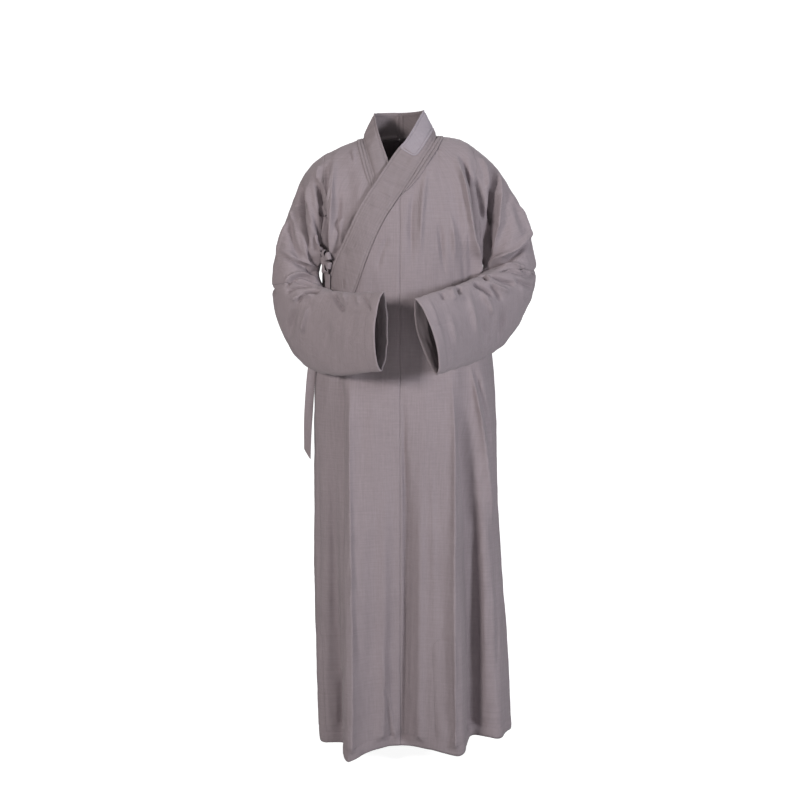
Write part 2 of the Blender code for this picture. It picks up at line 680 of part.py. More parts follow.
def press_creases(grid, normals, places, creases):
    """Grid of a sleeve with its creases pressed in along its normals."""
    rows, points = grid.shape[:2]

    def on_sleeve(ring, turn):
        row = float(np.interp(ring, places, range(rows)))
        column = turn / 360 * points
        low_row, low_column = min(int(row), rows - 2), int(column)
        part_row, part_column = row - low_row, column - low_column
        pair = [grid[low_row + k, low_column % points] * (1 - part_column)
                + grid[low_row + k, (low_column + 1) % points] * part_column for k in (0, 1)]
        return pair[0] * (1 - part_row) + pair[1] * part_row

    depth_here = np.zeros((rows, points))
    for route, depth, width in creases:
        line = []
        for (ring_a, turn_a), (ring_b, turn_b) in zip(route, route[1:]):
            line += [on_sleeve(ring_a + (ring_b - ring_a) * part, turn_a + (turn_b - turn_a) * part)
                     for part in np.linspace(0, 1, CREASE_SAMPLES)]
        line = np.array(line)
        ends = np.sin(np.pi * np.linspace(*CREASE_SPAN, len(line))) ** 0.5
        gaps = np.linalg.norm(grid[:, :, None] - line[None, None], axis=3)
        depth_here += (np.exp(-(gaps / width) ** 2) * ends).max(axis=2) * depth
    depth_here *= np.array([ease(place / CREASES_START) for place in places])[:, None]
    return grid - normals * depth_here[:, :, None]


def add_sleeve(name, rows, side):
    rings, places = sleeve_rings(rows)
    if side > 0:
        # the left sleeve's cross product points forward, so its rings turn the other way
        mirrored, _ = sleeve_rings([(-r[0], r[1], r[2], -r[3], *r[4:]) for r in rows])
        rings = mirrored * np.array((-1, 1, 1))
    hole, hole_normals = armhole_ring(side)
    ease_out = np.array([1 - ease(place / SLEEVE_BLEND) for place in places])
    grid = rings + (hole - rings[0])[None] * ease_out[:, None, None]
    normals = smooth_normals(grid, closed=True)
    centre = grid.mean(axis=1, keepdims=True)
    if (normals * (grid - centre)).sum() < 0:
        normals = -normals
    grid = press_creases(grid, normals, places, SLEEVE_CREASES[name])
    normals = smooth_normals(grid, closed=True) * (1 if side < 0 else -1)
    normals[0] = hole_normals
    inner = grid - normals * WALL
    for step in range(-ARMPIT_STEPS, ARMPIT_STEPS + 1):
        clear = ARMPIT_GAP * (1 - abs(step) / (ARMPIT_STEPS + 1))
        for layer in (grid, inner):
            layer[0, step] += unit(layer[1, step] - layer[0, step]) * clear
    for part, first, last in SLEEVE_SOLIDS[name]:
        rings = [layer[first:last + 1] for layer in (grid, inner)]
        for edge, ring in (("bottom", first), ("top", last)):
            if ring < SLEEVE_ROWS - 1:
                gap = SLEEVE_GAP if ring in SEWN_RINGS else SPLIT_GAP
                rings = [pull_back(layer, (edge,), gap) for layer in rings]
        add_wall(part + "_" + name, *rings, CLOTH_COLOUR, closed=True, flip=side > 0)


# ---- collar --------------------------------------------------------------------------------------
def station_angles(end):
    """Columns from this angle to the neck corner, with more of them close to the corner."""
    far = [end + COLUMN_STEP * step for step in range(math.ceil((NECK_STATIONS[0] - end) / COLUMN_STEP))]
    return far + list(NECK_STATIONS)


def seam_stations(outer_side, front_end):
    """Collar stations, front end to centre back: seam point, normal, free edge, standing and more."""
    side = 1 if outer_side else -1
    edge_table = OUTER_EDGE if outer_side else UNDER_EDGE
    top_of = outer_rise if outer_side else under_rise
    stations = []
    for angle in [side * place for place in station_angles(side * front_end)]:
        rise = top_of(angle)
        normal = body_normal(angle, min(rise, 1.999))
        seam = body_point(angle, rise)
        _, edge_x, edge_y, edge_z, standing = table_at(edge_table, seam[0])
        drop = 0.0 if outer_side else under_drop(angle, rise)
        edge = np.array((edge_x, edge_y, edge_z))
        stations.append((seam - normal * drop, normal, edge, min(max(standing, 0), 1), drop, angle, rise))
    side_edge = stations[-1][2]
    for from_centre in station_angles(0)[-2::-1]:
        angle = side * (180 - from_centre)
        rise = back_neck_rise(angle)
        share = from_centre / NECK_ANGLE
        edge = np.array((side_edge[0] * share, NECK_EDGE_BACK * math.sqrt(1 - share**2),
                         NECK_EDGE_Z + (side_edge[2] - NECK_EDGE_Z) * share**2))
        stations.append((body_point(angle, rise), body_normal(angle, rise), edge, 1.0, 0.0, angle, rise))
    return stations


def band_grid(stations, lift, first=0.0, last=1.0, steps=BAND_STEPS):
    """Middle surface of a strip between two shares of the band's width, [across][along]."""
    grid = np.zeros((steps + 1, len(stations), 3))
    for column, (seam, normal, edge, standing, drop, _, _) in enumerate(stations):
        for row in range(steps + 1):
            share = first + (last - first) * row / steps
            straight = seam + normal * lift + (edge - seam) * share
            if standing < 1:
                angle, rise = front_place(straight[0], straight[2])
                lying = body_point(angle, rise) + body_normal(angle, rise) * (lift - drop)
                weight = (1 - standing) * ease(share * BAND_SETTLE)
                straight = straight * (1 - weight) + lying * weight
            grid[row, column] = straight
    return grid


def outward_normals(grid):
    """Normals of a collar grid, turned away from the neck."""
    normals = smooth_normals(grid)
    neck = np.array((0.0, NECK_MIDDLE_Y, 0.0))
    away = grid - neck
    flip = (normals * away).sum(axis=2, keepdims=True) < 0
    return np.where(flip, -normals, normals)


def add_strip(name, grid, wall, colour, sewn=()):
    """A wall of even thickness about a middle surface whose columns run along the neck."""
    normals = outward_normals(grid)
    outer, inner = grid + normals * wall / 2, grid - normals * wall / 2
    flip = (smooth_normals(grid) * normals).sum() < 0
    add_wall(name, pull_back(outer, sewn), pull_back(inner, sewn), colour, flip=flip)


def beside_seam(station, along, distance, lift):
    """A point of the panel at a distance outside the seam, lifted off it."""
    seam, normal, edge, _, drop, angle, rise = station
    out = unit(np.cross(normal, along))
    if out @ (seam - edge) < 0:
        out = -out
    turn_step, rise_step = 0.5, 0.01
    toward_arm = turn_step if (angle > 0) == (abs(angle) <= 90) else -turn_step
    by_angle = (body_point(angle + toward_arm, rise) - body_point(angle, rise)) / toward_arm
    by_rise = (body_point(angle, rise) - body_point(angle, rise - rise_step)) / rise_step
    change = np.linalg.lstsq(np.column_stack((by_angle, by_rise)), out * distance, rcond=None)[0]
    place = angle + change[0], min(rise + change[1], 2.0)
    return body_point(*place) + body_normal(*place) * (lift - drop)


def step_grid(stations, first, last, lift):
    """A narrow strip beside the seam, on the panel that the band is sewn to, tapered at its ends."""
    seams = np.array([station[0] for station in stations])
    along = np.gradient(seams, axis=0)
    run = np.concatenate(((0,), np.cumsum(np.linalg.norm(np.diff(seams, axis=0), axis=1))))
    grid = np.zeros((2, len(stations), 3))
    for column, station in enumerate(stations):
        from_end = min(run[column], run[-1] - run[column])
        narrow = STEP_END_SHARE + (1 - STEP_END_SHARE) * ease(from_end / STEP_TAPER)
        grid[0, column] = beside_seam(station, along[column], SEAM_GAP + first * narrow, lift)
        grid[1, column] = beside_seam(station, along[column], last * narrow, lift)
    return grid


def add_collar():
    """Band in two halves joined at the centre back, its two steps, and the guard."""
    lift = LAY_GAP + BAND_WALL / 2
    left = seam_stations(True, BAND_END_ANGLE)
    right = seam_stations(False, UNDER_BAND_END_ANGLE)
    add_strip("collar_left", band_grid(left, lift, first=BAND_START), BAND_WALL, BAND_COLOUR, ("last",))
    add_strip("collar_right", band_grid(right, lift, first=BAND_START), BAND_WALL, BAND_COLOUR, ("last",))

    left_steps = seam_stations(True, STEP_ENDS[1])
    right_steps = seam_stations(False, STEP_ENDS[0])
    whole = left_steps + right_steps[-2::-1]
    inner_lift, outer_lift = LAY_GAP * 3.0, LAY_GAP * 2.8
    add_strip("collar_step_inner", step_grid(whole, 0.0, STEP_WIDTH, inner_lift), STRIP_WALL, BAND_COLOUR)
    add_strip("collar_step_outer", step_grid(whole, STEP_WIDTH, 2 * STEP_WIDTH, outer_lift),
              STRIP_WALL * 0.8, BAND_COLOUR)

    stations = seam_stations(True, GUARD_FRONT_END) + right[-2:-2 - GUARD_RIGHT_STATIONS:-1]
    base = band_grid(stations, lift, first=BAND_START)
    over = BAND_WALL / 2 + LAY_GAP + STRIP_WALL / 2
    guard = (base + outward_normals(base) * over)[GUARD_BARE_ROWS:]
    add_strip("collar_guard", guard, STRIP_WALL, GUARD_COLOUR)


# ---- side tie ------------------------------------------------------------------------------------
def add_tail():
    """The end of the tie that hangs at the right side, cut slanted."""
    keyed = [(float(index), *row) for index, row in enumerate(TAIL)]
    places = np.linspace(0, len(TAIL) - 1, TAIL_ROWS)
    grid = np.zeros((len(places), 3, 3))
    for row, place in enumerate(places):
        _, z, angle, off = table_at(keyed, place)
        middle = ring_point(angle, z)
        round_way = unit(ring_point(angle + 1, z) - ring_point(angle - 1, z))
        outward = np.array((round_way[1], -round_way[0], 0.0))
        for column in range(3):
            across = (column - 1) * TAIL_WIDTH / 2
            slant = TAIL_SLANT * (column - 1) if row == len(places) - 1 else 0.0
            grid[row, column] = middle + outward * off + round_way * across + np.array((0, 0, slant))
    normals = smooth_normals(grid)
    add_wall("tie_tail", grid + normals * TAIL_WALL / 2, grid - normals * TAIL_WALL / 2, CLOTH_COLOUR)


def add_knot():
    """The tied knot, a plump flattened roll beside the band's lower corner."""
    middle = ring_point(KNOT_ANGLE, KNOT_Z)
    round_way = unit(ring_point(KNOT_ANGLE + 1, KNOT_Z) - ring_point(KNOT_ANGLE - 1, KNOT_Z))
    outward = np.array((round_way[1], -round_way[0], 0.0))
    middle = middle + outward * KNOT_OFF
    verts, faces = [], []
    for ring in range(KNOT_RINGS):
        along = -1 + 2 * ring / (KNOT_RINGS - 1)
        radius = math.sqrt(1 - (abs(along) * KNOT_TAPER) ** KNOT_PLUMPNESS)
        for point in range(KNOT_POINTS):
            turn = 2 * math.pi * point / KNOT_POINTS
            verts.append(middle + round_way * radius * KNOT_HALF[0] * math.cos(turn)
                         + outward * radius * KNOT_HALF[1] * math.sin(turn)
                         + np.array((0.0, 0.0, KNOT_HALF[2] * along)))
    for ring in range(KNOT_RINGS - 1):
        for point in range(KNOT_POINTS):
            following = (point + 1) % KNOT_POINTS
            faces.append((ring * KNOT_POINTS + point, (ring + 1) * KNOT_POINTS + point,
                          (ring + 1) * KNOT_POINTS + following, ring * KNOT_POINTS + following))
    faces.append(tuple(range(KNOT_POINTS)))
    faces.append(tuple((KNOT_RINGS - 1) * KNOT_POINTS + point for point in range(KNOT_POINTS))[::-1])
    add_mesh("tie_knot", verts, faces, CLOTH_COLOUR)


def main():
    for old in list(bpy.data.objects):
        bpy.data.objects.remove(old, do_unlink=True)
    add_body()
    add_sleeve("right", SLEEVE_RIGHT, -1)
    add_sleeve("left", SLEEVE_LEFT, 1)
    add_collar()
    add_tail()
    add_knot()


main()
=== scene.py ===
# %% [markdown]
# # A long crossed-front gown, as it hangs when it is worn
#
# The gown is cut from one plain cloth: two fronts that cross, two backs, full sleeves
# pieced at the elbow, and a wide banded collar. This lesson dresses the plain panels with
# the things that make cloth look like cloth: creases, seams, stitches and a weave.
# The panels come ready cut, in metres, so every new piece is laid on its panel.

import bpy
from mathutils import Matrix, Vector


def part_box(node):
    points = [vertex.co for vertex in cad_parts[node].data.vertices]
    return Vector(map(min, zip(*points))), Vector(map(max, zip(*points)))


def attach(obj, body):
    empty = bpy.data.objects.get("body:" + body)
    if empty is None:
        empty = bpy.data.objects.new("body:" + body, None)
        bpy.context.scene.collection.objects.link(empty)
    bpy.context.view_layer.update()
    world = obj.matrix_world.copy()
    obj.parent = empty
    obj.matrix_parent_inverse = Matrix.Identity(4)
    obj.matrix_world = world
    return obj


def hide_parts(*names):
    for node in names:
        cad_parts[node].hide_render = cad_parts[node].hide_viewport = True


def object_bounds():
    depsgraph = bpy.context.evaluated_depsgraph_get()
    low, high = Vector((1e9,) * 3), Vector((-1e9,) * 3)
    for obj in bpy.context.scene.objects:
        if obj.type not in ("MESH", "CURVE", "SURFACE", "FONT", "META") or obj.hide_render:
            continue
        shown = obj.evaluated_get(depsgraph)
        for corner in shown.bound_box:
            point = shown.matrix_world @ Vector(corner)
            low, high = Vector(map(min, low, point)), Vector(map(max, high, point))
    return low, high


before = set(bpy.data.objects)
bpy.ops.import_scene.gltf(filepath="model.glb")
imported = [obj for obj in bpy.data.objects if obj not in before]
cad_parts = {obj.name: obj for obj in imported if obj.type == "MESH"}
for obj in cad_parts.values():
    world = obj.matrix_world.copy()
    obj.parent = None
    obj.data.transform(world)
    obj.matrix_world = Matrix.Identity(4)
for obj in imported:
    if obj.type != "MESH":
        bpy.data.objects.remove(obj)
CUT_BOX = [list(corner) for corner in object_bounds()]
print("panels:", len(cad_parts), "box:", CUT_BOX)

# %% [markdown]
# ## The camera
#
# The gown is seen from the front, from a little below the chest, with a long lens.
# A long lens from over three metres keeps the sleeves, which reach forward, from
# growing too large beside the skirt. A target constraint could aim the camera, but one
# fixed tilt is simpler and says exactly how it stands.

# %% Camera
import math

import bpy
import bmesh
import numpy as np
from mathutils import Vector
from mathutils.bvhtree import BVHTree
from mathutils.kdtree import KDTree

CAMERA_PLACE = (0.0, -3.42, -0.145)
CAMERA_TILT_DOWN = 7.45       # degrees
CAMERA_LENS = 67.59           # millimetres
SENSOR_WIDTH = 36.0


def new_object(name, data):
    """An object of the scene that holds some data."""
    thing = bpy.data.objects.new(name, data)
    bpy.context.scene.collection.objects.link(thing)
    return thing


def new_mesh(name, verts, faces):
    """A mesh from its points and faces."""
    mesh = bpy.data.meshes.new(name)
    mesh.from_pydata(verts, [], faces)
    return mesh


camera_data = bpy.data.cameras.new("camera")
camera_data.lens = CAMERA_LENS
camera_data.sensor_width = SENSOR_WIDTH
camera = new_object("camera", camera_data)
camera.location = CAMERA_PLACE
camera.rotation_euler = (math.radians(90 - CAMERA_TILT_DOWN), 0, 0)
bpy.context.scene.camera = camera
print("camera", tuple(camera.location))

# %% [markdown]
# ## The studio
#
# A white floor that curves up into a white wall gives an even ground with no horizon.
# It glows a little, as an overexposed studio wall does, so soft shadows stay pale. The
# glow that lights the gown is weaker than the glow that is seen, or it would fill the folds.
# A plain grey backdrop with a horizon would be simpler, but it would darken the whole ground.

# %% Floor and wall
FLOOR_DROP = 0.030            # a wearer's soles would stand this far below the hem
SWEEP_RADIUS = 1.2
SWEEP_BACK = 2.6
SWEEP_FRONT = -6.0
SWEEP_HALF_WIDTH = 9.0
SWEEP_TOP = 7.0
SWEEP_STEPS = 16
PAPER_GREY = (0.45, 0.45, 0.45)
PAPER_ROUGHNESS = 0.9
PAPER_GLOW_SEEN = 0.92
PAPER_GLOW_CAST = 0.03
WHITE = (1, 1, 1, 1)


def plain_material(name, colour, roughness):
    """A material with one Principled shader, ready for more nodes."""
    material = bpy.data.materials.new(name)
    material.use_nodes = True
    shader = material.node_tree.nodes["Principled BSDF"]
    shader.inputs["Base Color"].default_value = (*colour, 1)
    shader.inputs["Roughness"].default_value = roughness
    return material, shader


def seen_or_cast(tree, seen, cast):
    """A strength with one value for the camera and another for all other light."""
    paths = tree.nodes.new("ShaderNodeLightPath")
    level = tree.nodes.new("ShaderNodeMapRange")
    level.inputs["To Min"].default_value = cast
    level.inputs["To Max"].default_value = seen
    tree.links.new(paths.outputs["Is Camera Ray"], level.inputs["Value"])
    return level.outputs["Result"]


def sweep_profile(floor):
    """Points of the floor and wall from the front edge to the top, in y and z."""
    points = [(SWEEP_FRONT, floor), (SWEEP_BACK, floor)]
    for step in range(1, SWEEP_STEPS + 1):
        turn = math.pi / 2 * step / SWEEP_STEPS
        y = SWEEP_BACK + SWEEP_RADIUS * math.sin(turn)
        points.append((y, floor + SWEEP_RADIUS * (1 - math.cos(turn))))
    points.append((SWEEP_BACK + SWEEP_RADIUS, floor + SWEEP_TOP))
    return points


floor_z = CUT_BOX[0][2] - FLOOR_DROP
profile = sweep_profile(floor_z)
sweep_verts = [(side * SWEEP_HALF_WIDTH, y, z) for y, z in profile for side in (-1, 1)]
sweep_faces = [(2 * k, 2 * k + 1, 2 * k + 3, 2 * k + 2) for k in range(len(profile) - 1)]
sweep_mesh = new_mesh("studio_sweep", sweep_verts, sweep_faces)
sweep_mesh.shade_smooth()
studio = new_object("studio_sweep", sweep_mesh)
paper, paper_shader = plain_material("studio_paper", PAPER_GREY, PAPER_ROUGHNESS)
paper_shader.inputs["Emission Color"].default_value = WHITE
glow = seen_or_cast(paper.node_tree, PAPER_GLOW_SEEN, PAPER_GLOW_CAST)
paper.node_tree.links.new(glow, paper_shader.inputs["Emission Strength"])
sweep_mesh.materials.append(paper)
print("floor at", round(floor_z, 3))

# %% [markdown]
# ## The lamps
#
# Two rather small lamps stand left and right in front, at the height of the shoulders, so
# that their light grazes the folds: the left one is warm, the right one cool, which is what
# tints the two halves of the gown. A weak one from below opens the shadow under the arms,
# one above draws the shoulders, one behind serves the far side, and one washes the wall.

# %% Lamps
LAMPS = (
    # name, place, aim, width, power, colour
    ("warm_front", (-1.7, -2.3, 0.30), (0, 0, -0.4), 0.5, 45, (1.00, 0.955, 0.925)),
    ("cool_front", (2.2, -2.1, 0.15), (0, 0, -0.4), 0.6, 52, (0.93, 0.95, 1.00)),
    ("low_fill", (0.1, -2.3, -0.65), (0, 0, -0.3), 1.2, 4, (1.00, 0.99, 1.00)),
    ("behind", (0.4, 2.6, 1.5), (0, 0, -0.5), 1.6, 20, (1.00, 0.99, 1.00)),
    ("top_soft", (0.2, -0.9, 2.2), (0, 0, -0.2), 1.0, 7, (1.00, 1.00, 1.00)),
    ("wall_wash", (0.0, 1.0, 3.2), (0, 3.8, 0.0), 3.0, 50, (1.00, 1.00, 1.00)),
)
AIR = 0.080                   # light from all around; the camera sees white instead

for name, place, aim, width, power, colour in LAMPS:
    lamp = bpy.data.lights.new(name, "AREA")
    lamp.size = width
    lamp.energy = power
    lamp.color = colour
    holder = new_object(name, lamp)
    holder.location = place
    toward = Vector(aim) - Vector(place)
    holder.rotation_euler = toward.to_track_quat("-Z", "Y").to_euler()

world = bpy.data.worlds.new("studio_air")
world.use_nodes = True
air = world.node_tree.nodes["Background"]
air.inputs["Color"].default_value = WHITE
world.node_tree.links.new(seen_or_cast(world.node_tree, 1.0, AIR), air.inputs["Strength"])
bpy.context.scene.world = world
bpy.context.scene.view_settings.view_transform = "Standard"
print("lamps:", len(LAMPS))

# %% [markdown]
# ## The weave
#
# The cloth is a matt mix of cotton and linen in plain weave: each thread goes over one and
# under one. Its threads are uneven, and the thick places, called slubs, show as short
# streaks along and across the panel. A picture of cloth could be tiled over the panels,
# but it would repeat. Here two sine waves make the threads and stretched noise makes the
# slubs, in the cloth's own metres, so the weave keeps its size on every piece.

# %% Shader groups
THREADS_PER_METRE = 1500.0
SLUB_ACROSS = 330.0           # noise cells in a metre, across a thread
SLUB_ALONG = 16.0             # and along it
BROAD_TONE = 7.0              # noise cells in a metre
FINE_TONE = 130.0
STREAK_ROUGHNESS = 0.6


def new_group(name, *outputs):
    """An empty shader node group that takes the grain and gives some numbers."""
    group = bpy.data.node_groups.new(name, "ShaderNodeTree")
    group.interface.new_socket("Grain", in_out="INPUT", socket_type="NodeSocketVector")
    for title in outputs:
        group.interface.new_socket(title, in_out="OUTPUT", socket_type="NodeSocketFloat")
    return group, group.nodes.new("NodeGroupInput"), group.nodes.new("NodeGroupOutput")


def math_node(tree, operation, first, second=0.0, third=None):
    """One Math node; its inputs may be numbers or sockets."""
    node = tree.nodes.new("ShaderNodeMath")
    node.operation = operation
    for index, value in enumerate((first, second, third)):
        if value is None:
            continue
        if hasattr(value, "is_linked"):
            tree.links.new(value, node.inputs[index])
        else:
            node.inputs[index].default_value = value
    return node.outputs[0]


def scaled(tree, vector, factors):
    """A vector multiplied by three numbers."""
    node = tree.nodes.new("ShaderNodeVectorMath")
    node.operation = "MULTIPLY"
    tree.links.new(vector, node.inputs[0])
    node.inputs[1].default_value = factors
    return node.outputs[0]


def noise_node(tree, vector, scale, detail, roughness=0.5):
    """A noise texture read at a vector."""
    node = tree.nodes.new("ShaderNodeTexNoise")
    tree.links.new(vector, node.inputs["Vector"])
    node.inputs["Scale"].default_value = scale
    node.inputs["Detail"].default_value = detail
    node.inputs["Roughness"].default_value = roughness
    return node.outputs["Fac"]


def build_plain_weave():
    """Threads over and under each other: a height that rises and falls in both directions."""
    group, inside, outside = new_group("plain_weave", "Height")
    density = group.interface.new_socket(
        "Threads per Metre", in_out="INPUT", socket_type="NodeSocketFloat"
    )
    density.default_value = THREADS_PER_METRE
    split = group.nodes.new("ShaderNodeSeparateXYZ")
    group.links.new(inside.outputs["Grain"], split.inputs[0])
    turns = math_node(group, "MULTIPLY", inside.outputs["Threads per Metre"], math.pi)
    waves = []
    for axis in ("X", "Y"):
        turn = math_node(group, "MULTIPLY", split.outputs[axis], turns)
        waves.append(math_node(group, "SINE", turn))
    crossing = math_node(group, "MULTIPLY", waves[0], waves[1])
    height = math_node(group, "MULTIPLY_ADD", crossing, 0.5, 0.5)
    group.links.new(height, outside.inputs["Height"])
    return group


def build_slubs():
    """Thick places in the threads, as streaks along both directions of the weave."""
    group, inside, outside = new_group("slubs", "Warp", "Weft")
    runs = {"Warp": (SLUB_ACROSS, SLUB_ALONG, 1.0), "Weft": (SLUB_ALONG, SLUB_ACROSS, 1.0)}
    for title, factors in runs.items():
        stretched = scaled(group, inside.outputs["Grain"], factors)
        streak = noise_node(group, stretched, 1.0, 3.0, STREAK_ROUGHNESS)
        group.links.new(streak, outside.inputs[title])
    return group


def build_cloth_tone():
    """Slow changes of tone, from washing and handling."""
    group, inside, outside = new_group("cloth_tone", "Broad", "Fine")
    grain = inside.outputs["Grain"]
    broad = noise_node(group, grain, BROAD_TONE, 2.0)
    fine = noise_node(group, grain, FINE_TONE, 3.0, STREAK_ROUGHNESS)
    group.links.new(broad, outside.inputs["Broad"])
    group.links.new(fine, outside.inputs["Fine"])
    return group


WEAVE = build_plain_weave()
SLUBS = build_slubs()
TONE = build_cloth_tone()
print("groups:", WEAVE.name, SLUBS.name, TONE.name)

# %% [markdown]
# ## The cloth's materials
#
# All the panels share one grey-mauve cloth. The collar band is several layers stitched
# together, so it reads flatter and a little warmer. The guard at the neck is a paler,
# closer cloth that keeps the collar clean. Each is a Principled shader of its own, with
# the three groups set to its own strengths.

# %% Cloth materials
CLOTH_FINISHES = {
    # colour, warp streak, weft streak, tone, bump in metres
    "robe_cloth": ((0.300, 0.254, 0.272), 0.15, 0.12, 0.07, 0.00020),
    "band_cloth": ((0.272, 0.230, 0.243), 0.13, 0.12, 0.07, 0.00018),
    "guard_cloth": ((0.345, 0.306, 0.342), 0.10, 0.08, 0.05, 0.00014),
    "tie_cloth": ((0.292, 0.248, 0.264), 0.12, 0.10, 0.06, 0.00016),
}
CLOTH_ROUGHNESS = 0.86
CLOTH_SHEEN = 0.10
SHEEN_ROUGHNESS = 0.5
CLOTH_SPECULAR = 0.25
WEAVE_SHARE = 0.35            # the weave's height against the slubs'
GRAIN_UV = "grain"


def add_bump(tree, shader, height, distance):
    """Relief on a shader from a height."""
    bump = tree.nodes.new("ShaderNodeBump")
    bump.inputs["Distance"].default_value = distance
    tree.links.new(height, bump.inputs["Height"])
    tree.links.new(bump.outputs["Normal"], shader.inputs["Normal"])


def use_group(tree, group, grain):
    """A group node fed with the cloth's grain."""
    node = tree.nodes.new("ShaderNodeGroup")
    node.node_tree = group
    tree.links.new(grain, node.inputs["Grain"])
    return node


def cloth_material(name, colour, warp_amount, weft_amount, tone_amount, bump_height):
    """Woven cloth: its colour carries streaks and slow tones, its bump the threads."""
    material, shader = plain_material(name, colour, CLOTH_ROUGHNESS)
    tree = material.node_tree
    shader.inputs["Sheen Weight"].default_value = CLOTH_SHEEN
    shader.inputs["Sheen Roughness"].default_value = SHEEN_ROUGHNESS
    shader.inputs["Specular IOR Level"].default_value = CLOTH_SPECULAR
    uv = tree.nodes.new("ShaderNodeUVMap")
    uv.uv_map = GRAIN_UV
    grain = uv.outputs["UV"]
    weave, slubs, tone = (use_group(tree, group, grain) for group in (WEAVE, SLUBS, TONE))
    factor = 1.0
    for socket, amount in (
        (slubs.outputs["Warp"], warp_amount),
        (slubs.outputs["Weft"], weft_amount),
        (tone.outputs["Broad"], tone_amount),
        (tone.outputs["Fine"], tone_amount),
    ):
        swing = math_node(tree, "MULTIPLY_ADD", socket, 2 * amount, -amount)
        factor = math_node(tree, "ADD", swing, factor)
    tint = tree.nodes.new("ShaderNodeVectorMath")
    tint.operation = "SCALE"
    tint.inputs[0].default_value = colour
    tree.links.new(factor, tint.inputs["Scale"])
    tree.links.new(tint.outputs[0], shader.inputs["Base Color"])
    threads = math_node(tree, "ADD", slubs.outputs["Warp"], slubs.outputs["Weft"])
    height = math_node(tree, "MULTIPLY_ADD", weave.outputs["Height"], WEAVE_SHARE, threads)
    add_bump(tree, shader, height, bump_height)
    return material


CLOTH = {name: cloth_material(name, *finish) for name, finish in CLOTH_FINISHES.items()}
print("cloths:", sorted(CLOTH))

# %% [markdown]
# ## The thread
#
# The seams are sewn with a thread of the cloth's grey. Its colour is drawn darker than the cloth as
# painted shade for the stitch grooves. Its plies, the strands twisted into it, are a wave texture
# that runs slantwise through the stitches.

# %% Thread
# painted shade: the thread is coloured darker than the cloth to stand in for the shade in the
# stitch grooves
THREAD_COLOUR_WITH_GROOVE_SHADE = (0.225, 0.190, 0.205)
THREAD_ROUGHNESS = 0.7
THREAD_TWIST = 900.0          # turns of its plies in a metre
THREAD_TWIST_HEIGHT = 0.00006


def thread_material():
    """Sewing thread: a matt cord whose plies show as fine slanted ridges."""
    material, shader = plain_material("sewing_thread", THREAD_COLOUR_WITH_GROOVE_SHADE, THREAD_ROUGHNESS)
    tree = material.node_tree
    place = tree.nodes.new("ShaderNodeTexCoord")
    plies = tree.nodes.new("ShaderNodeTexWave")
    plies.bands_direction = "DIAGONAL"
    plies.inputs["Scale"].default_value = THREAD_TWIST
    tree.links.new(place.outputs["Object"], plies.inputs["Vector"])
    add_bump(tree, shader, plies.outputs["Fac"], THREAD_TWIST_HEIGHT)
    return material


THREAD = thread_material()
print("thread:", THREAD.name)

# %% [markdown]
# ## From a solid panel to a sheet
#
# Each panel arrives as a thick, closed wall. Cloth is easier to shape as one open sheet,
# so its outer face is taken off by itself: of the faces that have the wall's other side
# close behind them, those that face away from the wearer are kept. The wall could be shaped
# as it is, but its two sides would soon cut through each other. A thin wall comes back at
# the very end.

# %% Outer faces
WELD = 0.00005                # points closer than this are one
PANEL_MARK = "panel"
WALL_MOST = 0.0030            # no wall is thicker than this
JUST_INSIDE = 1e-5            # a ray starts this far behind its own face
OPPOSED = -0.85               # the two sides of a wall face opposite ways


def mesh_of(data):
    """A mesh opened for searching and editing."""
    mesh = bmesh.new()
    mesh.from_mesh(data)
    return mesh


def kept_mesh(name, mesh):
    """An edited mesh, closed and kept under a name."""
    data = bpy.data.meshes.new(name)
    mesh.to_mesh(data)
    mesh.free()
    return data


def backed_faces(mesh):
    """Faces with the wall's other side close behind them, so not those of its narrow rim."""
    tree = BVHTree.FromBMesh(mesh)
    backed = []
    for face in mesh.faces:
        if min(edge.calc_length() for edge in face.edges) < WALL_MOST:
            continue
        start = face.calc_center_median() - face.normal * JUST_INSIDE
        _, normal, _, _ = tree.ray_cast(start, -face.normal, WALL_MOST)
        if normal is not None and normal.dot(face.normal) < OPPOSED:
            backed.append(face)
    return backed


def layers_of(faces):
    """Groups of faces that share points."""
    left = set(faces)
    groups = []
    while left:
        front = [left.pop()]
        group = list(front)
        while front:
            for corner in front.pop().verts:
                for other in corner.link_faces:
                    if other in left:
                        left.remove(other)
                        front.append(other)
                        group.append(other)
        groups.append(group)
    return groups


def facing_out(group, middle):
    """How much of a group of faces looks away from a point, as an area."""
    total = 0.0
    for face in group:
        away = face.calc_center_median() - middle
        total += face.calc_area() * face.normal.dot(away.normalized())
    return total


def outer_face(node, panel, middle=None):
    """The outer face of one wall, as a mesh that remembers its panel's number."""
    wall = mesh_of(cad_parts[node].data)
    bmesh.ops.remove_doubles(wall, verts=wall.verts, dist=WELD)
    if middle is None:
        middle = sum((v.co for v in wall.verts), Vector()) / len(wall.verts)
    outer = set()
    for group in layers_of(backed_faces(wall)):
        if facing_out(group, middle) > 0:
            outer.update(corner for face in group for corner in face.verts)
    others = [face for face in wall.faces if not all(corner in outer for corner in face.verts)]
    bmesh.ops.delete(wall, geom=others, context="FACES")
    mark = wall.faces.layers.int.new(PANEL_MARK)
    for face in wall.faces:
        face[mark] = panel
    return kept_mesh(node + "_face", wall)


print("panels to open:", len(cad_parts))

# %% [markdown]
# ## Finer faces
#
# Creases a centimetre wide need faces of a few millimetres. The sheet's triangles are
# paired back into four-sided faces, because subdivision keeps those smooth, and faces that
# are still too long are halved, row by row, so that no gaps open between them.

# %% Finer faces
FLAT_ENOUGH = math.radians(50)
MOST_HALVINGS = 3


def new_sheet(name, mesh):
    """An object from an edited mesh, whose triangles are paired into four-sided faces."""
    bmesh.ops.join_triangles(
        mesh, faces=mesh.faces, angle_face_threshold=FLAT_ENOUGH, angle_shape_threshold=math.pi
    )
    return new_object(name, kept_mesh(name, mesh))


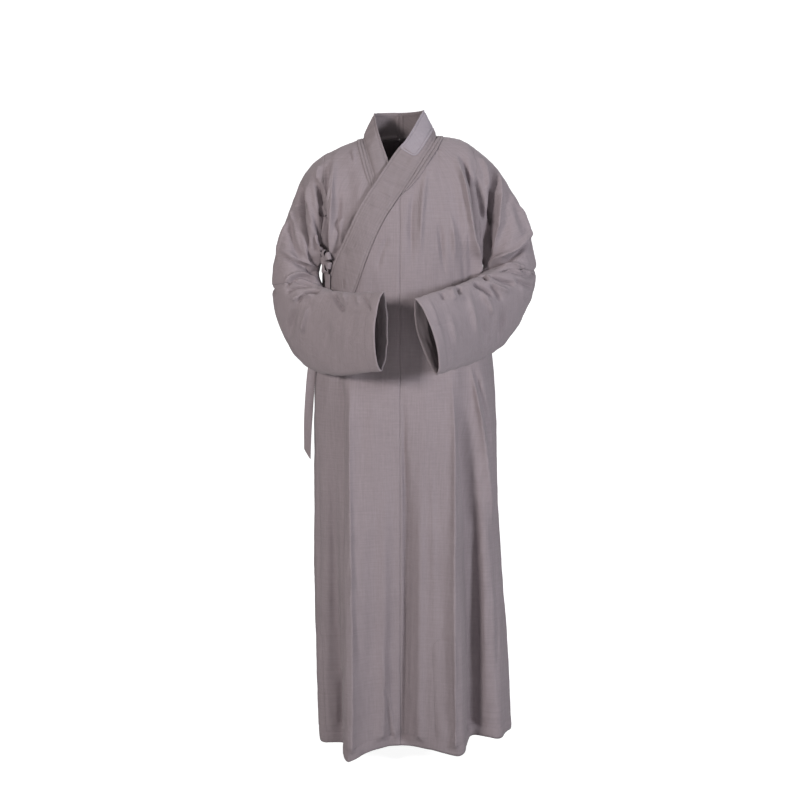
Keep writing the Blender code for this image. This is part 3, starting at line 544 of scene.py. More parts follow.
def apply_modifiers(sheet):
    """Replace a sheet's mesh by what its modifiers make of it."""
    graph = bpy.context.evaluated_depsgraph_get()
    made = bpy.data.meshes.new_from_object(sheet.evaluated_get(graph))
    sheet.modifiers.clear()
    sheet.data = made


def side_families(mesh):
    """Edges grouped with those opposite them across four-sided faces."""
    parent = list(range(len(mesh.edges)))

    def root(index):
        while parent[index] != index:
            parent[index] = parent[parent[index]]
            index = parent[index]
        return index

    for face in mesh.faces:
        if len(face.edges) == 4:
            edges = [loop.edge.index for loop in face.loops]
            for one, two in ((0, 2), (1, 3)):
                parent[root(edges[one])] = root(edges[two])
    families = {}
    for edge in mesh.edges:
        families.setdefault(root(edge.index), []).append(edge)
    return families.values()


def smooth_into_faces(sheet, levels):
    """Smooth a sheet into finer faces."""
    smoother = sheet.modifiers.new("smooth", "SUBSURF")
    smoother.levels = smoother.render_levels = levels
    apply_modifiers(sheet)


def halve_sides(sheet, longest, first_panel=0):
    """Halve the long sides of faces until they are short enough."""
    for _ in range(MOST_HALVINGS):
        mesh = mesh_of(sheet.data)
        mesh.edges.index_update()
        mark = mesh.faces.layers.int[PANEL_MARK]
        long_sides = []
        for family in side_families(mesh):
            family = [edge for edge in family if edge.link_faces[0][mark] >= first_panel]
            if family and sum(edge.calc_length() for edge in family) / len(family) > longest:
                long_sides.extend(family)
        if long_sides:
            bmesh.ops.subdivide_edges(mesh, edges=long_sides, cuts=1, use_grid_fill=True)
        mesh.to_mesh(sheet.data)
        mesh.free()
        if not long_sides:
            break
    sheet.data.shade_smooth()


print("a side is halved at most", MOST_HALVINGS, "times")

# %% [markdown]
# ## The sheets
#
# A panel that arrives as several walls, one above the other, becomes one sheet again. The
# panels that are sewn edge to edge become one gown, so that a crease runs on across their
# seams. The parts of the collar lie on the gown and stay sheets of their own.

# %% Sheets
SEAM_WELD = 0.0015            # edges sewn straight together stand less than this apart
RING_WELD = 0.008             # a sleeve's rings stand less than this from the edge they join
BODY_PANELS = ("front_left", "front_overlap", "front_right", "back_left", "back_right")
SLEEVE_PANELS = {
    "right": ("sleeve_upper_right", "sleeve_lower_right"),
    "left": ("sleeve_upper_left", "sleeve_lower_left"),
}
BAND_PANELS = (
    "collar_left", "collar_right", "collar_step_inner", "collar_step_outer", "collar_guard",
)
BODY_LEVELS = ("hem", "skirt", "waist", "chest")
BODY_DEPTH = 0.01             # the body's middle line stands this far behind the origin
BAND_DEPTH = 0.02
BAND_DROP = 0.10              # bands face away from a point this far below them
GOWN_EDGE = 0.0075            # longest side of a face
SLEEVE_EDGE = 0.0042          # and where the creases are sharper
BAND_EDGE = 0.0020


def height_of(node):
    """Height of the middle of a node's box."""
    low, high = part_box(node)
    return (low.z + high.z) / 2


def body_inside(node):
    """A point inside the body, level with a node."""
    return Vector((0, BODY_DEPTH, height_of(node)))


def sleeve_panels():
    """The names of all four sleeve panels."""
    return [name for names in SLEEVE_PANELS.values() for name in names]


def close_rings(whole, mark):
    """Join the rings of the sleeves to the edges they stand next to."""
    first_sleeve = len(BODY_PANELS)
    rims = [v for v in whole.verts if v.is_boundary]
    targets = {}
    for corner in rims:
        panel = corner.link_faces[0][mark]
        if panel < first_sleeve:
            continue
        others = [v for v in rims if v.link_faces[0][mark] < panel and v not in targets]
        nearest = min(others, key=lambda v: (v.co - corner.co).length_squared)
        if (nearest.co - corner.co).length < RING_WELD:
            targets[corner] = nearest
    bmesh.ops.weld_verts(whole, targetmap=targets)
    return len(targets)


def build_gown():
    """One mesh of all the panels that are sewn edge to edge."""
    whole = bmesh.new()
    for panel, name in enumerate(GOWN_PANELS):
        for node in panel_nodes[name]:
            face = outer_face(node, panel, body_inside(node) if name in BODY_PANELS else None)
            whole.from_mesh(face)
            bpy.data.meshes.remove(face)
    rims = [v for v in whole.verts if v.is_boundary]
    bmesh.ops.remove_doubles(whole, verts=rims, dist=SEAM_WELD)
    joined = close_rings(whole, whole.faces.layers.int[PANEL_MARK])
    print("ring points joined:", joined, "open edges:", sum(e.is_boundary for e in whole.edges))
    return new_sheet("gown", whole)


def build_band(name):
    """A part of the collar, which lies on the gown, as a sheet of its own."""
    face = outer_face(name, 0, Vector((0, BAND_DEPTH, height_of(name) - BAND_DROP)))
    mesh = mesh_of(face)
    bpy.data.meshes.remove(face)
    return new_sheet("cloth_" + name, mesh)


panel_nodes = {name: [name + "_" + level for level in BODY_LEVELS] for name in BODY_PANELS}
for arm in SLEEVE_PANELS:
    upper = [part + arm for part in ("sleeve_top_", "sleeve_upper_", "sleeve_elbow_")]
    panel_nodes["sleeve_upper_" + arm] = [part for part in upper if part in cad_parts]
    panel_nodes["sleeve_lower_" + arm] = ["sleeve_lower_" + arm, "sleeve_cuff_" + arm]
GOWN_PANELS = (*BODY_PANELS, *sleeve_panels())

sheets = {"gown": build_gown()}
smooth_into_faces(sheets["gown"], 2)
halve_sides(sheets["gown"], GOWN_EDGE)
halve_sides(sheets["gown"], SLEEVE_EDGE, len(BODY_PANELS))
for name in BAND_PANELS:
    panel_nodes[name] = [name]
    sheets[name] = build_band(name)
    smooth_into_faces(sheets[name], 1)
    halve_sides(sheets[name], BAND_EDGE)
for name, sheet in sheets.items():
    print(name, "faces:", len(sheet.data.polygons))

# %% [markdown]
# ## Points and distances
#
# All the shaping that follows moves points along their normals, by an amount that depends
# on how far they are from something. Displacement modifiers could do it, but arrays of
# points say each amount plainly, and are fast.

# %% Points and distances
MM = 0.001
CM = 0.01


def mesh_arrays(sheet):
    """Points and normals of a sheet as arrays."""
    points, normals = np.empty((2, len(sheet.data.vertices), 3))
    sheet.data.vertices.foreach_get("co", points.ravel())
    sheet.data.vertices.foreach_get("normal", normals.ravel())
    return points, normals


def set_points(sheet, points):
    """Move a sheet's points."""
    sheet.data.vertices.foreach_set("co", points.ravel())
    sheet.data.update()


def push_out(sheet, amount):
    """Push a sheet's points along their normals."""
    points, normals = mesh_arrays(sheet)
    set_points(sheet, points + normals * amount[:, None])


def faces_of(sheet, panels=None):
    """The faces of a sheet, or those on some of the gown's panels, as lists of points."""
    faces = [list(face.vertices) for face in sheet.data.polygons]
    if panels is None:
        return faces
    wanted = [GOWN_PANELS.index(name) for name in panels]
    numbers = np.empty(len(faces), dtype=np.int32)
    sheet.data.attributes[PANEL_MARK].data.foreach_get("value", numbers)
    return [face for face, number in zip(faces, numbers) if number in wanted]


def panel_points(sheet, panels):
    """Which of the gown's points lie on some panels."""
    on_panels = np.zeros(len(sheet.data.vertices), dtype=bool)
    for face in faces_of(sheet, panels):
        on_panels[face] = True
    return on_panels


def tree_of(sheet, panels=None):
    """A search tree over a sheet's faces, to find what a line of sight meets."""
    return BVHTree.FromPolygons([v.co.copy() for v in sheet.data.vertices], faces_of(sheet, panels))


def finder_of(targets):
    """A search tree over points."""
    finder = KDTree(len(targets))
    for index, target in enumerate(targets):
        finder.insert(target, index)
    finder.balance()
    return finder


def gap_to(points, targets):
    """How far each point is from the nearest of some targets."""
    finder = finder_of(targets)
    return np.array([finder.find(point)[2] for point in points])


def ease_up(amount):
    """0 at 0, easing to 1 at 1."""
    done = np.clip(amount, 0, 1)
    return done * done * (3 - 2 * done)


def ease_down(amount):
    """1 at 0, easing to 0 at 1."""
    return ease_up(1 - amount)


def bell(amount):
    """1 at 0, falling away on both sides as a bell curve."""
    return np.exp(-amount ** 2)


def lengths_along(line):
    """How far along a line each of its places lies."""
    return np.concatenate(((0,), np.cumsum(np.linalg.norm(np.diff(line, axis=0), axis=1))))


print("points of the gown:", len(sheets["gown"].data.vertices))

# %% [markdown]
# ## Creases
#
# Cloth that bends in two directions at once has to crease. On a worn gown the deep creases
# run to the places that pull: the armpit, the inside of the elbow and the tie. Each crease
# here is a route drawn on the sheet, in centimetres as seen square from one side,
# with its own depth and half width. A soft trough or ridge is a bell curve across the
# route; a sharp one comes to a line, like a pressed fold; a lap has a ridge on one flank
# and a hollow on the other, as where cloth folds over itself. All of them fade out at
# their ends. Sculpting by hand would do the same, but could not be repeated.

# %% Pressing a route into sheets
REACH = 3.2                   # half widths beyond which a crease is not felt
ROUTE_STEP = 0.006
TINY = 1e-6
SOFT, SHARP, LAP = "soft", "sharp", "lap"
SHARP_FALL = 1.3
CREASE_GAIN = 1.7             # the heights in the tables are drawn this much taller
SLEEVE_GAIN = 2.2             # and those on the front of the sleeves this much
LOOK_FROM = {
    # side: first axis of its routes, place along the line of sight, sight
    "front": (0, Vector((0, -1.5, 0)), Vector((0, 1, 0))),
    "back": (0, Vector((0, 1.5, 0)), Vector((0, -1, 0))),
    "right": (1, Vector((-1.5, 0, 0)), Vector((1, 0, 0))),
    "left": (1, Vector((1.5, 0, 0)), Vector((-1, 0, 0))),
}


def smooth_route(route):
    """Closely spaced places on a smooth curve through a few given ones."""
    places = np.array(route, dtype=float)
    if len(places) == 2:
        places = np.array((places[0], places.mean(axis=0), places[1]))
    ends = np.vstack((2 * places[0] - places[1], places, 2 * places[-1] - places[-2]))
    line = []
    for before, here, there, after in zip(ends, ends[1:], ends[2:], ends[3:]):
        steps = max(2, math.ceil(np.linalg.norm(there - here) / ROUTE_STEP))
        for t in np.arange(steps) / steps:
            line.append(0.5 * (2 * here + (there - before) * t
                               + (2 * before - 5 * here + 4 * there - after) * t ** 2
                               + (3 * here - before - 3 * there + after) * t ** 3))
    line.append(places[-1])
    return np.array(line)


def lay_route(tree, side, route):
    """The places where a route, drawn in centimetres from one side, meets the sheets."""
    axis, stand, sight = LOOK_FROM[side]
    laid = []
    for first, up in smooth_route(np.array(route) * CM):
        origin = stand.copy()
        origin[axis] = first
        origin.z = up
        hit = tree.ray_cast(origin, sight)[0]
        if hit is not None:
            laid.append(tuple(hit))
    return np.array(laid)


def across_and_along(points, normals, laid):
    """Each point's distance to a route, its flank, and how far along it lies (0 to 1)."""
    best = np.full(len(points), np.inf)
    flank = np.zeros(len(points))
    along = np.zeros(len(points))
    lengths = lengths_along(laid)
    for start, end, done in zip(laid, laid[1:], lengths):
        run = end - start
        size = np.linalg.norm(run)
        if size < TINY:
            continue
        share = np.clip((points - start) @ run / size ** 2, 0, 1)
        gap = points - (start + share[:, None] * run)
        distance = np.linalg.norm(gap, axis=1)
        closer = distance < best
        best[closer] = distance[closer]
        side = np.einsum("ij,ij->i", np.cross(normals, run / size), gap)
        flank[closer] = side[closer]
        along[closer] = (done + share[closer] * size) / lengths[-1]
    return best, flank, along


def fade(along, ends):
    """1 along most of a route, easing to 0 at both ends over the given shares of its length."""
    return ease_up(along / ends[0]) * ease_up((1 - along) / ends[1])


def crease_profile(shape, distance, flank, half_width):
    """Height across a crease, 1 at its line (a lap: 1 on its right flank, -1 on its left)."""
    if shape == SHARP:
        return np.exp(-SHARP_FALL * (distance / half_width))
    if shape == LAP:
        t = flank / half_width
        return t * np.exp(0.5 - 0.5 * t ** 2)
    return bell(distance / half_width)


def press(names, creases, share=1.0):
    """Push sheets in or out along their normals by all the creases, or by a share of them."""
    for name in names:
        sheet = sheets[name]
        points, normals = mesh_arrays(sheet)
        push = np.zeros(len(points))
        for laid, depth, half_width, shape, ends in creases:
            reach = REACH * half_width
            low, high = laid.min(axis=0) - reach, laid.max(axis=0) + reach
            near = np.all((points > low) & (points < high), axis=1)
            if not near.any():
                continue
            distance, flank, along = across_and_along(points[near], normals[near], laid)
            height = crease_profile(shape, distance, flank, half_width) * fade(along, ends)
            push[near] += depth * height * (distance < reach)
        push_out(sheet, push * share)


def laid_creases(tree, table, front_gain=CREASE_GAIN):
    """A table of creases with each route laid on the sheets."""
    made = []
    for side, rows in table.items():
        gain = front_gain if side == "front" else CREASE_GAIN
        for height, half_width, shape, ends, *route in rows:
            laid = lay_route(tree, side, np.reshape(route, (-1, 2)))
            if len(laid) > 1:
                made.append((laid, height * MM * gain, half_width * MM, shape, ends))
    return made


print("routes are drawn from the", ", ".join(LOOK_FROM))

# %% [markdown]
# ## Creases of the sleeves
#
# The arms are bent forward, so the upper sleeve is pulled into long folds that run down
# from the shoulder and meet at the armpit, and short ones that fan out of the inner elbow.
# The forearm hangs flatter, with faint lines where it was ironed.

# %% Sleeve creases
ARMHOLE_EASE = 0.030          # how far a sleeve's creases run on into the body


def sleeve_share(sheet):
    """1 on the sleeves, easing to 0 a little way into the body."""
    points, _ = mesh_arrays(sheet)
    on_sleeve = panel_points(sheet, sleeve_panels())
    armhole = points[on_sleeve & panel_points(sheet, BODY_PANELS)]
    return np.where(on_sleeve, 1.0, ease_down(gap_to(points, armhole) / ARMHOLE_EASE))


EVEN = (0.25, 0.25)           # how soon a crease fades at its ends
SLOW = (0.45, 0.45)
TO_END = (0.35, 0.05)         # stays deep to its end
FROM_START = (0.05, 0.4)
FROM_SOON = (0.15, 0.02)      # and one that reaches the hem from high up
TO_HEM = (0.5, 0.02)

RIGHT_SLEEVE_CREASES = {
    # by side: height and half width (mm), shape, ends, then the route's places (cm)
    "front": (
        (-10, 5, SOFT, EVEN,
         -21.7, -6, -22.3, -10, -22, -14.5, -21.4, -19.5, -20.4, -24.2, -18.4, -29.6),
        (-5, 3, SHARP, EVEN, -22.2, -8.5, -21.8, -14.5, -21.2, -19.5, -20.2, -24.2, -18.6, -28.8),
        (5, 6, SOFT, EVEN, -20.2, -8, -20.2, -14, -19.4, -20.5, -18.2, -26, -16.8, -29),
        (3, 6, SOFT, EVEN, -23.8, -8, -24.2, -13, -23.5, -19.5, -22.4, -25, -20.2, -30.6),
        (-5, 9, SOFT, TO_END, -25, -15, -24.2, -21, -21.8, -27, -17.2, -31.5),
        (-3.5, 3, SHARP, EVEN, -20.4, -13.5, -20, -17, -19.6, -20),
        (-5, 5, SOFT, EVEN, -19.4, -7.5, -18.3, -11, -17.3, -15),
        (-6, 4.5, SOFT, EVEN, -18, -9.5, -17.7, -13, -17.2, -19, -16.6, -24),
        (6, 9, SOFT, EVEN, -18.9, -22, -18.8, -26, -18.4, -29),
        (3, 4, SOFT, EVEN, -17.8, -6, -18.6, -9.5),
        (4, 4.5, LAP, TO_END, -27.2, -25, -23.8, -26.7, -19.5, -28.8, -16.9, -31),
        (4, 3.5, LAP, EVEN, -25.9, -33.2, -24, -30.9, -21.2, -30.3, -17.4, -32.3),
        (-6, 4.5, SOFT, TO_END, -24.6, -31.2, -21.2, -31.8, -17.2, -33),
        (-6, 3.6, SOFT, EVEN, -25.4, -34, -22.8, -32.8, -19.4, -32.6),
        (4, 5, SOFT, EVEN, -24.6, -35.8, -21.6, -34.8, -18.4, -34.2),
        (-7, 4, SOFT, EVEN, -22.9, -36.4, -20.9, -34.2, -17.2, -33.6),
        (-5, 10, SOFT, SLOW, -22.6, -36, -24, -40, -25.2, -45),
        (5, 6, SOFT, EVEN, -20, -36.5, -20.6, -39, -21.6, -43),
        (-5, 5.5, SOFT, EVEN, -14.6, -33.6, -13.4, -36, -11.8, -37.6),
        (3, 5, SOFT, EVEN, -12.4, -33.6, -11, -36),
        (-4, 3, SHARP, EVEN, -8.2, -33.2, -7, -35.4, -5.9, -37.4),
        (2, 4, SOFT, EVEN, -9.4, -33.4, -8.6, -36),
        (-2.5, 9, SOFT, SLOW, -15.5, -39, -16.6, -46),
        (2, 9, SOFT, SLOW, -11.5, -39, -11.9, -48),
        (-0.9, 2.6, SHARP, EVEN, -13, -37.8, -8, -37.5, -3.6, -37.6),
    ),
    "back": (
        (-8, 6, SHARP, EVEN, -20.6, -7, -21.6, -14, -20.9, -21, -18.8, -28),
        (5, 8, SOFT, EVEN, -19.2, -9, -19.8, -16, -18.9, -23),
        (-5, 9, SOFT, SLOW, -24.6, -14, -24, -22, -21.6, -30),
        (5, 9, SOFT, SLOW, -26.2, -20, -25.4, -28, -23, -35),
        (-5, 6, SOFT, EVEN, -27.4, -30, -24.4, -31.5, -20.4, -31),
        (-5, 6, SOFT, EVEN, -27.2, -36, -24.6, -35, -21, -33.4),
        (3, 8, SOFT, SLOW, -24, -38, -22, -44, -18.4, -49),
    ),
    "right": (
        (-5, 8, SOFT, EVEN, 3.6, -12, 2, -20, -2.4, -27),
        (4, 8, SOFT, EVEN, -4, -14, -3.4, -21, -4.8, -28),
        (-5, 6, SOFT, EVEN, 2.6, -30, -1.4, -33, -6.4, -34.5),
    ),
}
LEFT_SLEEVE_CREASES = {
    "front": (
        (-8, 5.5, SOFT, EVEN, 15.6, -4.5, 17, -9, 18, -14, 18.6, -19),
        (-13, 8, SOFT, EVEN, 20.9, -9, 20.6, -14, 20, -20, 18.8, -28),
        (5, 5, SOFT, EVEN, 17.6, -4, 19, -8, 19.5, -12),
        (-7, 5, SOFT, EVEN, 20.6, -5, 21.4, -10, 21, -15),
        (7, 7, LAP, EVEN, 20.6, -5, 21.4, -12, 21.1, -19, 19.8, -26),
        (-3, 10, SOFT, SLOW, 25.6, -13, 26.8, -18, 27.6, -22),
        (5, 5, SOFT, EVEN, 29.6, -20, 27.4, -23, 24.4, -25.2, 21.2, -26.8, 18.8, -28.4),
        (-8, 4.5, SOFT, TO_END, 29, -22.4, 27, -24.8, 24.2, -26.6, 21, -28, 18.6, -29.4),
        (-8, 5, SOFT, EVEN, 17.4, -29.4, 19.4, -31.2),
        (-5.5, 3.6, SHARP, EVEN, 21.4, -29.8, 23.4, -29, 26.4, -29.8, 29.3, -31.4),
        (4, 4, SOFT, EVEN, 22.4, -28.2, 25.4, -27.8, 28.4, -29.2),
        (-5, 3.6, SHARP, EVEN, 26, -27.6, 27.6, -29.4, 29.6, -31),
        (-4, 4, SOFT, EVEN, 25.2, -31, 27.8, -32.2, 30, -33.2),
        (-6, 4, SOFT, EVEN, 19.4, -29.8, 22.6, -31.2, 25.8, -32.4),
        (4, 4, SOFT, EVEN, 18.8, -31.4, 21.4, -32.6, 24.2, -33.8),
        (-7, 5, SOFT, FROM_START, 16, -31.6, 18.2, -33, 20.6, -34.8),
        (-5, 4.5, SOFT, EVEN, 19.6, -31.6, 20.8, -33.4, 22.2, -35.6),
        (4, 5, SOFT, EVEN, 17.4, -33.6, 19.2, -36, 20.2, -39),
        (-4.5, 5, SOFT, EVEN, 8.4, -32.2, 9.6, -34.8),
        (-5, 5, SOFT, EVEN, 12.2, -31, 13.1, -34),
        (3.5, 5, SOFT, EVEN, 10.6, -32, 11.6, -35),
        (3.5, 8, SOFT, SLOW, 14.2, -32, 15.6, -38, 17.2, -45),
        (-3, 8, SOFT, SLOW, 17, -37, 18.2, -41, 19, -46),
        (-4.5, 9, SOFT, SLOW, 22.4, -36, 22.6, -40, 21.4, -46.5),
        (2, 9, SOFT, SLOW, 10.6, -37, 12.2, -46),
        (-0.9, 2.6, SHARP, EVEN, 5.6, -39.3, 9, -39.6, 12.4, -39.2),
    ),
    "back": (
        (-8, 6, SHARP, EVEN, 20.4, -6, 21.8, -13, 21.2, -20, 19.2, -27),
        (5, 8, SOFT, EVEN, 18.9, -8, 19.9, -15, 19.3, -22),
        (-5, 9, SOFT, SLOW, 25.4, -12, 25.4, -20, 23, -28),
        (5, 9, SOFT, SLOW, 27.6, -17, 27.8, -24, 25.4, -31),
        (-6, 6, SOFT, EVEN, 29.4, -26, 26.4, -28, 22, -28.4),
        (-5, 6, SOFT, EVEN, 29.6, -31, 26.8, -31, 22.8, -30.4),
        (3, 8, SOFT, SLOW, 27, -34, 24.6, -40, 20.4, -45),
    ),
    "left": (
        (-5, 8, SOFT, EVEN, 3.4, -9, 2.4, -17, -1.8, -24),
        (4, 8, SOFT, EVEN, -3.6, -11, -3, -18, -4.4, -25),
        (-5, 6, SOFT, EVEN, 2.2, -27, -1.8, -29.5, -6.6, -31.5),
    ),
}
SLEEVE_CREASES = {"right": RIGHT_SLEEVE_CREASES, "left": LEFT_SLEEVE_CREASES}

on_sleeves = sleeve_share(sheets["gown"])
for arm, names in SLEEVE_PANELS.items():
    creases = laid_creases(tree_of(sheets["gown"], names), SLEEVE_CREASES[arm], SLEEVE_GAIN)
    side = 1 if arm == "left" else -1
    points, _ = mesh_arrays(sheets["gown"])
    press(["gown"], creases, on_sleeves * (points[:, 0] * side > 0))
    print("sleeve", arm, "creases:", len(creases))

# %% [markdown]
# ## Creases of the body
#
# Below the arms the cloth hangs free, so its folds run down and open towards the hem. On the
# chest they start at the collar and the shoulders, and end where the arms press the cloth.
# The overlapping front, the front under it and the collar all take the same creases, which
# keeps the layers from cutting through each other.

# %% Body creases
BODY_CREASES = {
    # by side, as above
    "front": (
        (-10, 6.5, LAP, EVEN, 12.2, -2.6, 13.4, -6, 15.4, -12.8, 16.4, -21, 16.8, -29.5, 16.2, -36),
        (3, 7, SOFT, EVEN, 11.4, -6, 13.2, -13, 14.2, -20, 14.6, -28),
        (11, 14, SOFT, EVEN, 17, -21, 17.2, -27, 17, -32),
        (5, 5.5, SOFT, SLOW, 6.2, -5, 5.2, -11.5, 4.6, -18, 4.4, -28),
        (-5, 7, SOFT, SLOW, 4, -9, 2.8, -14, 2.4, -20, 2.6, -30),
        (5, 6, SOFT, SLOW, 10.6, -15, 11.6, -21, 12.2, -29),
        (-5, 6, SOFT, SLOW, 8.6, -17, 9.3, -24, 10, -31),
        (-2.5, 7, SOFT, SLOW, 13.6, -22, 14, -28, 14.4, -35),
        (7, 7, LAP, EVEN, -15.2, -4.5, -15.8, -12, -15.9, -20, -15.2, -26.5, -14.4, -30),
        (-4, 7, SOFT, EVEN, -13.4, -12, -13.7, -18, -13.2, -25),
        (-7, 6, SOFT, EVEN, -17.2, -12, -17, -18, -16.4, -23, -15.7, -28),
        (3, 5, SOFT, EVEN, -13, -17, -13.2, -22, -13, -27),
        (-1.2, 2.6, SOFT, EVEN, -11.2, -2.6, -10.4, -5.2),
        (-1, 2.4, SOFT, EVEN, -10, -2.8, -9.4, -5.6),
        (2, 2.6, SOFT, EVEN, -10.6, -2.6, -9.9, -5.6),
        (-2, 10, SOFT, SLOW, -11.4, -6, -11.8, -12),
        (2.5, 12, SOFT, SLOW, -8.6, -9, -9.4, -16),
        (7, 7, SHARP, FROM_SOON, -11, -52, -11, -66, -11.1, -85, -11.1, -110, -11.2, -140),
        (-4.5, 8, SOFT, FROM_SOON, -13, -48, -13.1, -60, -13.2, -85, -13.3, -110, -13.4, -136),
        (-4, 3, SHARP, EVEN, -14, -50, -13.2, -56, -12.3, -61),
        (3, 9, SOFT, SLOW, -16, -55, -16.2, -80, -16.6, -110, -16.8, -134),
        (-2.5, 6, SOFT, SLOW, -18.4, -60, -18.6, -90, -18.8, -125),
        (5, 14, SOFT, TO_HEM, -3.4, -66, -3.6, -90, -4, -120, -4.4, -138),
        (-8, 9, SOFT, TO_HEM, 0.7, -54, 1.3, -70, 1.6, -93, 1.2, -118, 0.7, -140),
        (-6, 4, SOFT, SLOW, 0.5, -50, 0.8, -62, 1.1, -78, 1.3, -98, 1.1, -122),
        (5, 12, SOFT, TO_HEM, 4.2, -62, 4.6, -85, 4.8, -110, 4.6, -138),
        (2, 6, SOFT, SLOW, -4.4, -112, -4, -126, -3.6, -139),
        (-2, 4, SOFT, TO_END, -4.4, -122, -3.2, -131, -2.2, -138),
        (2, 4, SOFT, TO_END, -3.2, -121, -2.4, -130, -1, -138),
        (8, 7, SHARP, FROM_SOON, 11.4, -52, 11.8, -64, 12.1, -85, 12.4, -110, 12.8, -139),
        (-11, 16, SOFT, FROM_SOON, 13.6, -58, 14.8, -72, 16.4, -92, 17, -112, 16.6, -136),
        (8, 6, SHARP, EVEN, 15.2, -49, 16.8, -56, 18.4, -65, 19.8, -76, 21.4, -90),
        (-4, 6, SOFT, EVEN, 16.4, -50, 18.8, -59, 20.6, -70),
        (3, 10, SOFT, SLOW, 18.6, -84, 19.4, -105, 19.8, -130),
        (-2.5, 7, SOFT, SLOW, 21.6, -90, 22.4, -110, 22.8, -130),
        (2, 8, SOFT, SLOW, 7, -58, 7.4, -85, 8, -115),
        (-2.5, 3.5, SOFT, EVEN, -12.6, -131, -12.9, -134.5),
    ),
    "back": (
        (-6, 9, SOFT, SLOW, -5, -30, -5.6, -70, -6.4, -110, -6.6, -138),
        (5, 10, SOFT, SLOW, -9.6, -35, -10.6, -75, -11.8, -138),
        (-5, 8, SOFT, SLOW, 4.6, -34, 5.4, -72, 6, -138),
        (5, 9, SOFT, SLOW, 9.8, -32, 11.2, -72, 12.6, -138),
        (-5, 7, SOFT, SLOW, 14.2, -45, 16.2, -85, 17.8, -132),
        (-5, 7, SOFT, SLOW, -13.6, -48, -15, -88, -16, -132),
        (4, 6, SOFT, EVEN, -15.6, -5, -14.6, -13, -12.2, -22),
        (-4, 6, SOFT, EVEN, -14.2, -5, -12.6, -13, -9.8, -21),
        (4, 6, SOFT, EVEN, 15.6, -5, 14.4, -14, 11.8, -23),
        (-4, 6, SOFT, EVEN, 14, -4, 12.2, -12, 9.4, -20),
        (-3, 6, SOFT, EVEN, -14.6, -24, -10, -31, -5, -35),
        (-3, 6, SOFT, EVEN, 14.6, -22, 10.6, -30, 5.4, -34),
        (2.5, 7, SOFT, EVEN, -13.8, -28, -8.4, -35),
        (-2, 8, SOFT, SLOW, -3, -6, -1.4, -14, -0.8, -24),
    ),
    "left": (
        (-4, 3.5, SHARP, EVEN, 2, -53, 2.4, -58, 2.8, -65),
        (-5, 8, SOFT, SLOW, -1, -40, -1.6, -80, -2.4, -125),
        (5, 9, SOFT, SLOW, 3.4, -38, 4.4, -80, 6.4, -130),
        (-5, 8, SOFT, SLOW, 7.6, -50, 9.6, -90, 12, -130),
    ),
    "right": (
        (-5, 8, SOFT, SLOW, 0.6, -40, 0.2, -80, -0.6, -125),
        (5, 9, SOFT, SLOW, 4.8, -38, 5.8, -80, 7.8, -130),
        (-5, 8, SOFT, SLOW, 8.4, -52, 10.4, -92, 12.8, -130),
    ),
}

UNDER_BAND_CREASES = {
    # where the fronts fall away from the band that lies on them
    "front": (
        (-6, 5, SOFT, EVEN, -9, -15.6, -11, -19.6, -13, -23.4, -14.8, -27),
        (3, 6, SOFT, EVEN, -12.4, -17, -14, -21, -15.2, -25),
        (-2.2, 6, SOFT, EVEN, -2.4, -21, -4, -25, -5, -29),
    ),
}

body_tree = tree_of(sheets["gown"], BODY_PANELS)
body_creases = laid_creases(body_tree, BODY_CREASES)
under_band = laid_creases(body_tree, UNDER_BAND_CREASES)
points, _ = mesh_arrays(sheets["gown"])
deep_in = on_sleeves >= 1
from_body = gap_to(points, points[~deep_in])
on_body = np.where(deep_in, ease_down(from_body / ARMHOLE_EASE), 1.0)
press(["gown"], body_creases, on_body)
press(["gown"], under_band, on_body)
press(BAND_PANELS, body_creases)
print("body creases:", len(body_creases))

# %% [markdown]
# ## The small unevenness of cloth
#
# No panel hangs perfectly smooth between its creases. A slow wander of a millimetre or so,
# longer down the skirt than across it, breaks up the highlights. A sum of sine waves with
# seeded directions does this for every sheet at once, so layers stay apart.

# %% Wander
WANDER_SEED = 11
WANDER_WAVES = 14
WANDER_SPREAD = (0.6, 1.6)    # how much longer or shorter than the mean a wave may be


def wander(points, across, down, seed):
    """A slow random rise and fall over space, about -1 to 1."""
    random = np.random.default_rng(seed)
    total = np.zeros(len(points))
    for _ in range(WANDER_WAVES):
        direction = random.normal(size=3)
        direction /= np.linalg.norm(direction)
        stretch = 2 * math.pi / random.uniform(*WANDER_SPREAD)
        direction *= stretch / np.array((across, across, down))
        total += np.sin(points @ direction + random.uniform(0, 2 * math.pi))
    return total / math.sqrt(WANDER_WAVES / 2) / 2


def unsettle(names, layers, share=1.0):
    """Push sheets along their normals by layers of wander, or by a share of them."""
    for name in names:
        points, _ = mesh_arrays(sheets[name])
        push = np.zeros(len(points))
        for index, (height, across, down) in enumerate(layers):
            push += height * MM * wander(points, across, down, WANDER_SEED + index)
        push_out(sheets[name], push * share)


# height (mm), length of a wave across and down (m)
BODY_WANDER = ((1.5, 0.050, 0.32), (0.5, 0.020, 0.06), (0.16, 0.009, 0.018))
SLEEVE_WANDER = ((1.3, 0.045, 0.09), (0.6, 0.020, 0.035), (0.2, 0.009, 0.013))
unsettle(["gown"], SLEEVE_WANDER, on_sleeves)
unsettle(["gown"], BODY_WANDER, 1 - on_sleeves)
unsettle(BAND_PANELS, BODY_WANDER)
print("wander layers:", len(BODY_WANDER), len(SLEEVE_WANDER))

# %% [markdown]
# ## Seams and turned edges
#
# Where two panels meet, the seam pulls the cloth in, so it shows as a fine valley. The
# same happens along a hem. The armholes have none: there the cloth runs on into the
# sleeve.

# %% Seam valleys
VALLEY = 0.0008
VALLEY_WIDTH = 0.0030
VALLEY_SAMPLE = 0.0004


